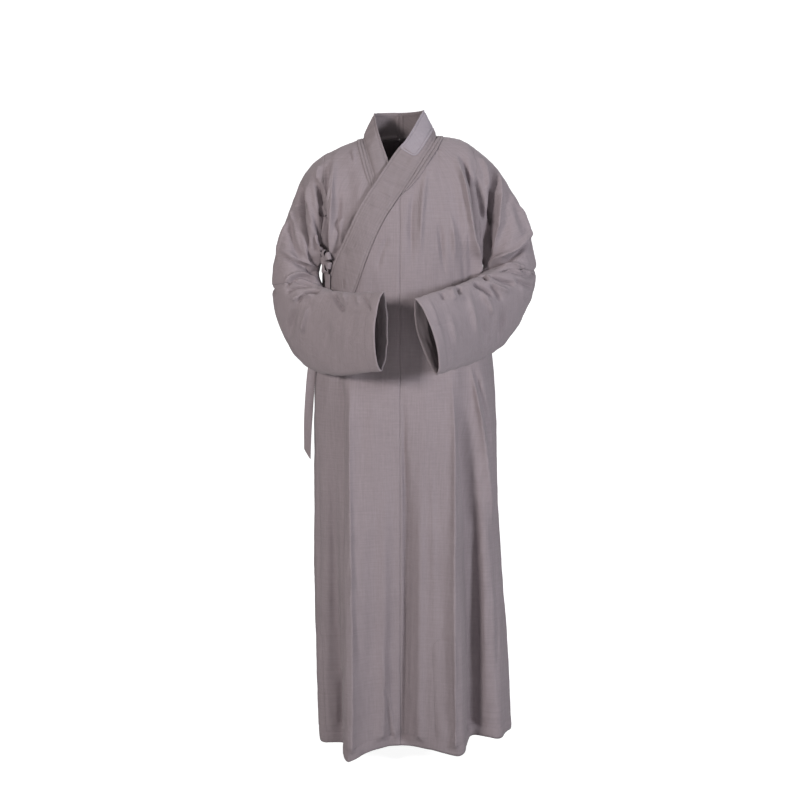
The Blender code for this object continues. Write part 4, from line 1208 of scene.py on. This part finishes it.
def line_samples(edges):
    """Close points along some edges."""
    samples = []
    for edge in edges:
        first, second = (np.array(v.co) for v in edge.verts)
        steps = max(1, math.ceil(edge.calc_length() / VALLEY_SAMPLE))
        samples.extend(first + (second - first) * k / steps for k in range(steps))
    return np.array(samples)


def seam_edges(mesh):
    """The open edges, and the edges between two panels other than at the armholes."""
    mark = mesh.faces.layers.int[PANEL_MARK]
    first_sleeve = len(BODY_PANELS)
    found = []
    for edge in mesh.edges:
        panels = {face[mark] for face in edge.link_faces}
        across_armhole = min(panels) < first_sleeve <= max(panels)
        if edge.is_boundary or (len(panels) == 2 and not across_armhole):
            found.append(edge)
    return found


def press_valleys(sheet):
    """Press a fine valley along every seam and open edge."""
    mesh = mesh_of(sheet.data)
    seams = line_samples(seam_edges(mesh))
    mesh.free()
    points, _ = mesh_arrays(sheet)
    push_out(sheet, -VALLEY * bell(gap_to(points, seams) / VALLEY_WIDTH))


for sheet in sheets.values():
    press_valleys(sheet)
print("sheets with valleys:", len(sheets))

# %% [markdown]
# ## Laying the collar on the gown
#
# The collar band still floats a little above the cut edge that it is sewn to. Its open
# edge is drawn down to that edge, and the last centimetre of the band follows.

# %% Laying the collar
LAY_REACH = 0.0090            # edges further apart than this aren't sewn
LAY_EASE = 0.012              # how far from a seam the cloth gives way
LAID_ON_CHEST = 0.50          # share of the gap that is closed; all of it behind the neck


def open_edges(sheet, wanted=None):
    """Close points along a sheet's open edges, or along those of them that are wanted."""
    mesh = mesh_of(sheet.data)
    edges = [edge for edge in mesh.edges if edge.is_boundary]
    if wanted is not None:
        edges = [edge for edge in edges if wanted(edge, mesh)]
    samples = line_samples(edges)
    mesh.free()
    return samples


def draw_to(sheet, targets, share_of):
    """Draw a sheet's open edge towards targets, and let the cloth beside it follow."""
    mesh = mesh_of(sheet.data)
    corners = [number for number, v in enumerate(mesh.verts) if v.is_boundary]
    mesh.free()
    finder = finder_of(targets)
    points, _ = mesh_arrays(sheet)
    moved, moves = [], []
    for corner in corners:
        found, _, gap = finder.find(points[corner])
        if gap < LAY_REACH:
            moved.append(points[corner])
            moves.append((np.array(found) - points[corner]) * share_of(points[corner]))
    finder = finder_of(moved)
    near = [finder.find(point)[1:] for point in points]
    which = np.array([index for index, _ in near])
    weight = ease_down(np.array([gap for _, gap in near]) / LAY_EASE)
    set_points(sheet, points + np.array(moves)[which] * weight[:, None])
    return len(moved)


gown_rim = open_edges(sheets["gown"])
for name in ("collar_left", "collar_right"):
    moved = draw_to(sheets[name], gown_rim, lambda point: 1.0 if point[1] > 0 else LAID_ON_CHEST)
    print(name, "edge points laid:", moved)
left_rim = open_edges(sheets["collar_left"])
centre_back = left_rim[left_rim[:, 1] > BAND_DEPTH]
print("centre back:", draw_to(sheets["collar_right"], centre_back, lambda point: 1.0))

# %% [markdown]
# ## Stitched edges
#
# The collar's edges are stitched a few millimetres in, which draws a fine groove and leaves
# the edge itself like a narrow cord. Part of the band is quilted in close rows, to stiffen
# it, and short seams cross it where the cloth was pieced. Every groove is a line at a fixed
# distance from an edge, so it can be found by measuring how far each point is from the edge.

# %% Grooves of the collar
EDGE_INSET = 0.0050           # the edge stitching's distance from the edge
GROOVE = 0.0017
GROOVE_HALF = 0.0016
EDGE_CORD = 0.0006            # how far the cloth outside the stitching stands up
QUILT_INSETS = (0.0125, 0.0180, 0.0235, 0.0290, 0.0345)
QUILT_FROM, QUILT_TO = -0.250, -0.128     # heights between which the band is quilted
QUILT_EASE = 0.006
QUILT_GROOVE = 0.0011
PIECED = (
    # short seams across the band, as routes in centimetres
    ((-1.9, -6.1), (1.1, -7.3)),
    ((-3.5, -9.4), (0.7, -10.9)),
    ((-4.8, -11.8), (-0.7, -13.9)),
    ((-6.8, -14.8), (-2.2, -16.3)),
)
PIECED_DEPTH = -0.0018
PIECED_HALF = 0.0018
PIECED_ENDS = (0.02, 0.02)
BAND_SLIT = ((-12.5, -30.9), (-12.4, -33.5))
BAND_SLIT_DEPTH = -0.0030
BAND_SLIT_ENDS = (0.2, 0.2)


def quilted(places):
    """1 where the band is quilted, easing to 0 above and below."""
    heights = places[:, 2]
    middle, half = (QUILT_FROM + QUILT_TO) / 2, (QUILT_TO - QUILT_FROM) / 2
    return ease_down((np.abs(heights - middle) - half) / QUILT_EASE)


edge_distance = {}
for name in ("collar_left", "collar_right", "collar_guard"):
    points, _ = mesh_arrays(sheets[name])
    away = gap_to(points, open_edges(sheets[name]))
    edge_distance[name] = away
    shape = EDGE_CORD * ease_down(away / EDGE_INSET)
    shape -= GROOVE * bell((away - EDGE_INSET) / GROOVE_HALF)
    if name == "collar_left":
        for inset in QUILT_INSETS:
            shape -= QUILT_GROOVE * quilted(points) * bell((away - inset) / GROOVE_HALF)
    push_out(sheets[name], shape)
band_tree = tree_of(sheets["collar_left"])
lines = [(route, PIECED_DEPTH, PIECED_ENDS) for route in PIECED]
lines.append((BAND_SLIT, BAND_SLIT_DEPTH, BAND_SLIT_ENDS))
grooves = []
for route, depth, ends in lines:
    grooves.append((lay_route(band_tree, "front", route), depth, PIECED_HALF, SOFT, ends))
press(["collar_left"], grooves)
print("grooves across the band:", len(grooves))

# %% [markdown]
# ## Turned hem and cuffs
#
# The hem and the cuffs are turned in and stitched down, so the cloth is double there. The
# double strip stands a little proud, with a shallow groove where the stitches hold it.

# %% Hem and cuffs
CUFF_SET_BACK = 0.011         # how much shorter the back of a cuff hangs than its front
CUFF_SET_REACH = 0.075
HEM_TURN = 0.026
CUFF_TURN = 0.030
TURN_PROUD = 0.0006
TURN_GROOVE = 0.0010
TURN_GROOVE_HALF = 0.0045
TURN_EASE = 0.004
HEM_BELOW = -1.15             # open edges lower than this belong to the hem


def at_hem(edge, mesh):
    """Whether an open edge belongs to the hem."""
    return edge.verts[0].co.z < HEM_BELOW


def at_cuff(edge, mesh):
    """Whether an open edge belongs to a cuff."""
    mark = mesh.faces.layers.int[PANEL_MARK]
    return GOWN_PANELS[edge.link_faces[0][mark]].startswith("sleeve_lower")


points, normals = mesh_arrays(sheets["gown"])
near_cuff = ease_down(gap_to(points, open_edges(sheets["gown"], at_cuff)) / CUFF_SET_REACH)
points[:, 0] += np.sign(points[:, 0]) * CUFF_SET_BACK * near_cuff * np.clip(normals[:, 1], 0, 1)
set_points(sheets["gown"], points)

turned = {}
for title, wanted, inset in (("hem", at_hem, HEM_TURN), ("cuffs", at_cuff, CUFF_TURN)):
    points, _ = mesh_arrays(sheets["gown"])
    past = gap_to(points, open_edges(sheets["gown"], wanted)) - inset
    turned[title] = past
    shape = TURN_PROUD * ease_down(past / TURN_EASE + 0.5)
    shape -= TURN_GROOVE * bell(past / TURN_GROOVE_HALF)
    push_out(sheets["gown"], shape)
print("turned:", sorted(turned))

# %% [markdown]
# ## Stitches
#
# Machine stitches show as short rounded dashes of thread sunk into the cloth. A dotted
# texture would show no relief, so each dash is a small piece of geometry. The line that they
# follow is where the distance to the edge equals the inset, which is found face by face, as
# contour lines are found on a map.

# %% Stitches
STITCH_PITCH = 0.0034
STITCH_LENGTH = 0.0026
STITCH_HALF_WIDTH = 0.00045
STITCH_HALF_HEIGHT = 0.00035
STITCH_RINGS = (
    # place along a stitch, and girth there: a point, two rings of four points, and a point
    (-0.5, 0.0), (-0.32, 1.0), (0.32, 1.0), (0.5, 0.0),
)
STITCH_POINTS = 10


def contour(sheet, field):
    """Lines where a field over a sheet's points passes zero, as places with their normals."""
    points, normals = mesh_arrays(sheet)
    both = np.hstack((points, normals))
    below = field < 0
    places, links = {}, {}
    for face in sheet.data.polygons:
        corners = list(face.vertices)
        if below[corners].all() or not below[corners].any():
            continue
        cut = [key for key in face.edge_keys if below[key[0]] != below[key[1]]]
        if len(cut) != 2:
            continue
        for key, other in (cut, cut[::-1]):
            first, second = key
            share = field[first] / (field[first] - field[second])
            places[key] = both[first] + (both[second] - both[first]) * share
            links.setdefault(key, []).append(other)
    left = set(places)
    lines = []
    for start in sorted(places, key=lambda key: (len(links[key]), key)):
        line = []
        here = start if start in left else None
        while here is not None:
            left.discard(here)
            line.append(places[here])
            here = next((key for key in links[here] if key in left), None)
        if len(line) > 2:
            lines.append(np.array(line))
    return lines


def stitches_on(lines, wanted=None):
    """Points and faces of the stitches along some lines."""
    verts, faces = [], []
    for line in lines:
        lengths = lengths_along(line[:, :3])
        for middle in np.arange(STITCH_PITCH, lengths[-1] - STITCH_PITCH, STITCH_PITCH):
            ends = (middle - STITCH_LENGTH / 2, middle, middle + STITCH_LENGTH / 2)
            rows = [np.interp(ends, lengths, column) for column in line.T]
            first, place, last = np.column_stack(rows)
            if wanted is not None and not wanted(place[None, :3])[0] > 0.5:
                continue
            along = last[:3] - first[:3]
            up = place[3:] / np.linalg.norm(place[3:])
            side = np.cross(up, along)
            side /= np.linalg.norm(side)
            base = len(verts)
            for share, size in STITCH_RINGS:
                here = place[:3] + along * share
                if size == 0:
                    verts.append(here)
                    continue
                for across, lift in ((1, 0), (0, 1), (-1, 0), (0, -1)):
                    beside = side * across * STITCH_HALF_WIDTH
                    verts.append(here + beside + up * lift * STITCH_HALF_HEIGHT)
            for k in range(4):
                after = (k + 1) % 4
                faces.append((base, base + 1 + after, base + 1 + k))
                faces.append((base + 1 + k, base + 1 + after, base + 5 + after, base + 5 + k))
                faces.append((base + 9, base + 5 + k, base + 5 + after))
    return verts, faces


def sew(name, lines, wanted=None):
    """A row of stitches as one piece."""
    verts, faces = stitches_on(lines, wanted)
    mesh = new_mesh(name, verts, faces)
    mesh.shade_smooth()
    print(name, "stitches:", len(verts) // STITCH_POINTS)
    return new_object(name, mesh)


threads = {}
for name, away in edge_distance.items():
    threads[name] = sew("stitches_" + name, contour(sheets[name], away - EDGE_INSET))
rows = []
for inset in QUILT_INSETS:
    rows.extend(contour(sheets["collar_left"], edge_distance["collar_left"] - inset))
threads["quilt"] = sew("stitches_quilting", rows, quilted)
for title, field in turned.items():
    threads[title] = sew("stitches_" + title, contour(sheets["gown"], field))

# %% [markdown]
# ## Cutting the gown into its panels
#
# The gown was creased in one piece, so that folds run on across its seams. Each panel is a
# piece of its own, with its own grain, so the mesh is now cut along the seams.

# %% Panels
def cut_out(sheet, panel):
    """One panel of the gown as an object of its own."""
    mesh = mesh_of(sheet.data)
    mark = mesh.faces.layers.int[PANEL_MARK]
    others = [face for face in mesh.faces if face[mark] != panel]
    bmesh.ops.delete(mesh, geom=others, context="FACES")
    data = kept_mesh("cloth_" + GOWN_PANELS[panel], mesh)
    data.shade_smooth()
    return new_object(data.name, data)


gown = sheets.pop("gown")
for panel, name in enumerate(GOWN_PANELS):
    sheets[name] = cut_out(gown, panel)
bpy.data.objects.remove(gown, do_unlink=True)
print("pieces:", sorted(sheets))

# %% [markdown]
# ## The grain
#
# A weave has to follow the panel: down the length of the body, and along each sleeve.
# A UV map holds, for every corner of every face, how far it lies across and along the
# grain in metres. Unwrapping by hand would also work; a body measured by its turn about
# the middle and its height, and a sleeve by a line through it, is enough here.

# %% Grain
BODY_RADIUS = 0.17
SLEEVE_RADIUS = 0.075
SLEEVE_LINE = (
    (0.165, 0.0, -0.10), (0.235, -0.01, -0.25), (0.235, -0.05, -0.37), (0.03, -0.255, -0.42),
)
SVD_POINTS = 2000             # enough points to find a band's long way


def write_grain(sheet, across, along):
    """Store the grain as a UV map, corner by corner."""
    layer = sheet.data.uv_layers.new(name=GRAIN_UV)
    corners = np.empty(len(sheet.data.loops), dtype=np.int64)
    sheet.data.loops.foreach_get("vertex_index", corners)
    pair = np.column_stack((across[corners], along[corners]))
    layer.data.foreach_set("uv", pair.ravel())


def body_grain(sheet):
    """Across by the turn about the body's middle, along by height."""
    points, _ = mesh_arrays(sheet)
    middle = points.mean(axis=0)
    facing = math.atan2(middle[0], -middle[1])
    turn = np.arctan2(points[:, 0], -points[:, 1]) - facing
    turn = (turn + math.pi) % (2 * math.pi) - math.pi
    write_grain(sheet, (turn + facing) * BODY_RADIUS, points[:, 2])


def sleeve_grain(sheet, side):
    """Along by the nearest place on the sleeve's line, across by the turn about it."""
    points, normals = mesh_arrays(sheet)
    line = np.array(SLEEVE_LINE) * (side, 1, 1)
    _, _, along = across_and_along(points, normals, line)
    turn = np.arctan2(normals[:, 2], -normals[:, 1])
    write_grain(sheet, turn * SLEEVE_RADIUS, along * lengths_along(line)[-1])


def band_grain(sheet):
    """A band runs round the neck and down the front: along by its slanting length."""
    points, _ = mesh_arrays(sheet)
    spread = points - points.mean(axis=0)
    every = max(1, len(points) // SVD_POINTS)
    _, _, axes = np.linalg.svd(spread[::every], full_matrices=False)
    write_grain(sheet, spread @ axes[1], spread @ axes[0])


for name in BODY_PANELS:
    body_grain(sheets[name])
for arm, nodes in SLEEVE_PANELS.items():
    for node in nodes:
        sleeve_grain(sheets[node], 1 if arm == "left" else -1)
for name in BAND_PANELS:
    band_grain(sheets[name])
print("grain written on", len(sheets), "sheets")

# %% [markdown]
# ## The side tie
#
# Two ribbons of the same cloth close the gown under the arm. They are tied in a small bow,
# with one end left hanging down the side. That end is a flat strip swept along a line, with
# a slight curl across it, and it turns as it falls.

# %% Ribbons
TIE_WALL = 0.0014
TIE_CURL = 0.0008
RIBBON_COLUMNS = 7
TAIL_HALF = 0.010
TAIL_SLANT = 0.012            # how much lower one corner of the end is than its middle
TAIL_LINE = (
    # place of the middle, and the way that the width points, in degrees from across
    (-0.1608, -0.0703, -0.300, -54),
    (-0.1627, -0.0674, -0.340, -55),
    (-0.1718, -0.0542, -0.373, -60),
    (-0.1818, -0.0425, -0.412, -62),
    (-0.1895, -0.0410, -0.452, -46),
    (-0.1955, -0.0420, -0.490, -24),
    (-0.2010, -0.0420, -0.530, -8),
    (-0.2045, -0.0400, -0.570, -2),
    (-0.2075, -0.0370, -0.610, -6),
    (-0.2100, -0.0340, -0.650, -22),
    (-0.2112, -0.0320, -0.690, -34),
    (-0.2118, -0.0300, -0.714, -38),
)
TAIL_STEPS = 72
DEGREE_STEP = 0.002           # a degree of turn counts as this far along the curve, in metres
SLANT_POWER = 6               # the slant is felt only near the end


def ribbon(name, middles, widths, curl_way):
    """A strip swept along a line: one width vector, and one way to curl, for every step."""
    verts = []
    for middle, width, curl in zip(middles, widths, curl_way):
        for column in range(RIBBON_COLUMNS):
            across = 2 * column / (RIBBON_COLUMNS - 1) - 1
            verts.append(middle + width * across + curl * TIE_CURL * (1 - across ** 2))
    faces = []
    for step in range(len(middles) - 1):
        for column in range(RIBBON_COLUMNS - 1):
            first = step * RIBBON_COLUMNS + column
            faces.append((first, first + 1, first + 1 + RIBBON_COLUMNS, first + RIBBON_COLUMNS))
    mesh = new_mesh(name, verts, faces)
    half = [np.linalg.norm(width) for width in widths]
    gone = lengths_along(middles)
    grain = mesh.uv_layers.new(name=GRAIN_UV)
    for corner, loop in enumerate(mesh.loops):
        step, column = divmod(loop.vertex_index, RIBBON_COLUMNS)
        across = 2 * column / (RIBBON_COLUMNS - 1) - 1
        grain.data[corner].uv = (across * half[step], gone[step])
    return mesh


def tail_ribbon():
    """The end of the tie that hangs down the side."""
    table = smooth_route(np.array(TAIL_LINE) * (1, 1, 1, DEGREE_STEP))
    keep = np.linspace(0, len(table) - 1, TAIL_STEPS)
    numbers = np.arange(len(table))
    rows = np.column_stack([np.interp(keep, numbers, column) for column in table.T])
    turns = np.radians(rows[:, 3] / DEGREE_STEP)
    level = np.zeros(TAIL_STEPS)
    widths = np.column_stack((np.cos(turns), np.sin(turns), level)) * TAIL_HALF
    way_out = np.column_stack((np.sin(turns), -np.cos(turns), level))
    slant = np.linspace(0, 1, TAIL_STEPS) ** SLANT_POWER
    widths[:, 2] -= slant * TAIL_SLANT
    return ribbon("tie_tail_ribbon", rows[:, :3], widths, way_out)


def thicken(sheet, wall, offset):
    """Give a sheet a wall: inward at an offset of -1, to both sides at 0."""
    thickener = sheet.modifiers.new("wall", "SOLIDIFY")
    thickener.thickness = wall
    thickener.offset = offset


def tie_piece(mesh, wall=0.0):
    """An object from a mesh, thickened and smoothed."""
    piece = new_object(mesh.name, mesh)
    if wall:
        thicken(piece, wall, 0)
    smooth_into_faces(piece, 1)
    piece.data.shade_smooth()
    return piece


tie_tail = tie_piece(tail_ribbon(), TIE_WALL)
print("tie: tail faces", len(tie_tail.data.polygons))

# %% [markdown]
# ## The bow
#
# The bow is gathered loops round a plump wrap. Cloth simulation can tie nothing, so the
# loops are drawn as teardrops that start and end in the knot.

# %% Bow
KNOT_MIDDLE = (-0.1695, -0.0625, -0.272)
KNOT_ROUND = (0.585, -0.811, 0.0)         # round the body, towards the middle of the front
KNOT_OUT = (-0.811, -0.585, 0.0)          # away from the body
KNOT_UP = (0.0, 0.0, 1.0)
LOOPS = (
    # towards the front, up, length, half width, plumpness, how far out it stands
    (0.15, 1.00, 0.026, 0.0085, 0.0060, 0.0020),
    (0.95, 0.45, 0.030, 0.0090, 0.0060, 0.0030),
    (0.90, -0.35, 0.028, 0.0080, 0.0055, 0.0010),
    (-0.80, 0.55, 0.020, 0.0070, 0.0050, 0.0010),
    (0.35, -1.00, 0.026, 0.0080, 0.0045, 0.0030),
)
LOOP_STEPS = 28
LOOP_GATHER = 0.35            # a loop's width at the knot, as a share of its full width
LOOP_FULLNESS = 0.8           # below 1, a loop stays wide for longer
WRAP_RINGS = 15
WRAP_AROUND = 32
WRAP_HALF_HEIGHT = 0.0090
WRAP_HALF_ROUND = 0.0085
WRAP_HALF_OUT = 0.0070
WRAP_BULGE = 0.75
WRAP_CREASE = 0.09
WRAP_CREASES = 5
WRAP_CREASE_SLANT = 1.3
WRAP_GRAIN = (0.05, 0.02)     # cloth round it and along it


def loop_ribbon(index, forward, up, length, half_width, plump, stand):
    """One loop of the bow, a gathered teardrop."""
    round_way, outward, upward = np.array((KNOT_ROUND, KNOT_OUT, KNOT_UP))
    along = round_way * forward + upward * up
    along /= np.linalg.norm(along)
    across = np.cross(outward, along)
    turn = np.linspace(0, 1, LOOP_STEPS)
    reach = np.sin(math.pi * turn) ** LOOP_FULLNESS
    middles = (np.array(KNOT_MIDDLE) + outward * stand
               + along * (length * reach)[:, None]
               + outward * (plump * np.sin(2 * math.pi * turn) * reach)[:, None])
    widths = across * (half_width * (LOOP_GATHER + (1 - LOOP_GATHER) * reach))[:, None]
    curls = outward * np.sign(0.5 - turn)[:, None]
    return ribbon(f"tie_loop_{index}", middles, widths, curls)


def wrap_mesh():
    """The turn of ribbon that holds the bow: a plump barrel with gathered creases."""
    round_way, outward, upward = np.array((KNOT_ROUND, KNOT_OUT, KNOT_UP))
    verts, faces = [], []
    around = WRAP_AROUND
    for ring in range(WRAP_RINGS):
        high = 2 * ring / (WRAP_RINGS - 1) - 1
        girth = math.sqrt(1 - WRAP_BULGE * high ** 2)
        for point in range(around):
            turn = 2 * math.pi * point / around
            fold = WRAP_CREASES * high * math.pi + WRAP_CREASE_SLANT * math.sin(turn)
            crease = 1 + WRAP_CREASE * math.sin(fold)
            forward = round_way * math.cos(turn) * WRAP_HALF_ROUND
            sideways = outward * math.sin(turn) * WRAP_HALF_OUT
            middle = np.array(KNOT_MIDDLE) + upward * high * WRAP_HALF_HEIGHT
            verts.append(middle + (forward + sideways) * girth * crease)
    for first in range(0, (WRAP_RINGS - 1) * around, around):
        for point in range(around):
            after = (point + 1) % around
            above = first + around
            faces.append((first + point, first + after, above + after, above + point))
    faces.append(tuple(range(around))[::-1])
    faces.append(tuple(range(len(verts) - around, len(verts))))
    mesh = new_mesh("tie_wrap", verts, faces)
    grain = mesh.uv_layers.new(name=GRAIN_UV)
    for corner, loop in enumerate(mesh.loops):
        ring, point = divmod(loop.vertex_index, around)
        grain.data[corner].uv = (point / around * WRAP_GRAIN[0], ring / WRAP_RINGS * WRAP_GRAIN[1])
    return mesh


tie_loops = [tie_piece(loop_ribbon(index, *loop), TIE_WALL) for index, loop in enumerate(LOOPS)]
tie_wrap = tie_piece(wrap_mesh())
print("bow: loops", len(tie_loops), "wrap faces", len(tie_wrap.data.polygons))

# %% [markdown]
# ## The thin wall
#
# Every sheet is given its thickness inward, so that the outside stays where it was shaped.

# %% Walls and finishes
CLOTH_WALL = 0.0012
BAND_WALL = 0.0016
FINISH_OF = {"collar_guard": "guard_cloth"}
FINISH_OF.update({name: "band_cloth" for name in BAND_PANELS if name != "collar_guard"})


def finish_piece(piece, material):
    """Give a piece its material, and let it ride on the one body."""
    piece.data.materials.clear()
    piece.data.materials.append(material)
    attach(piece, "root")


areas = {}
for name, sheet in sheets.items():
    areas[name] = sum(face.area for face in sheet.data.polygons)
    thicken(sheet, BAND_WALL if name in BAND_PANELS else CLOTH_WALL, -1)
    apply_modifiers(sheet)
    sheet.data.shade_smooth()
    finish = FINISH_OF.get(name, "robe_cloth")
    finish_piece(sheet, CLOTH[finish])
    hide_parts(*panel_nodes[name])
    print("sheet", name, "area", round(areas[name], 4), "size", np.round(sheet.dimensions, 3))

# %% [markdown]
# ## The tie and the threads
#
# The ribbons and the stitches already have their thickness, so they need only a material.

# %% Tie and threads
for piece in (tie_tail, tie_wrap, *tie_loops):
    finish_piece(piece, CLOTH["tie_cloth"])
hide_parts("tie_tail")
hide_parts("tie_knot")
for piece in threads.values():
    finish_piece(piece, THREAD)
print("pieces on the gown:", 2 + len(tie_loops) + len(threads))

# %% [markdown]
# ## The cut
#
# Each piece of cloth is stated by the rectangle that it is cut from, with its real area
# where it tapers. The body's panels flare towards the hem, and the sleeves are tubes, cut
# flat and sewn along one side.

# %% Flat sizes
CUT_SIZES = {
    # piece: width, length, area, how it is held
    "front_left": (0.37, 1.44, 0.462, "hung"),
    "front_overlap": (0.26, 1.30, 0.290, "hung"),
    "front_right": (0.38, 1.44, 0.472, "hung"),
    "back_left": (0.36, 1.44, 0.425, "hung"),
    "back_right": (0.34, 1.44, 0.400, "hung"),
    "sleeve_upper_right": (0.42, 0.31, 0.102, "draped"),
    "sleeve_lower_right": (0.44, 0.34, 0.142, "draped"),
    "sleeve_upper_left": (0.42, 0.32, 0.109, "draped"),
    "sleeve_lower_left": (0.44, 0.34, 0.140, "draped"),
    "collar_left": (0.078, 0.58, 0.0396, "laid"),
    "collar_right": (0.078, 0.40, 0.0261, "laid"),
    "collar_step_inner": (0.013, 0.42, 0.0053, "laid"),
    "collar_step_outer": (0.013, 0.44, 0.0054, "laid"),
    "collar_guard": (0.068, 0.24, 0.0141, "laid"),
}

for name, (width, length, area, held) in CUT_SIZES.items():
    print(name, "cloth over cut:", round(areas[name] / area, 3))
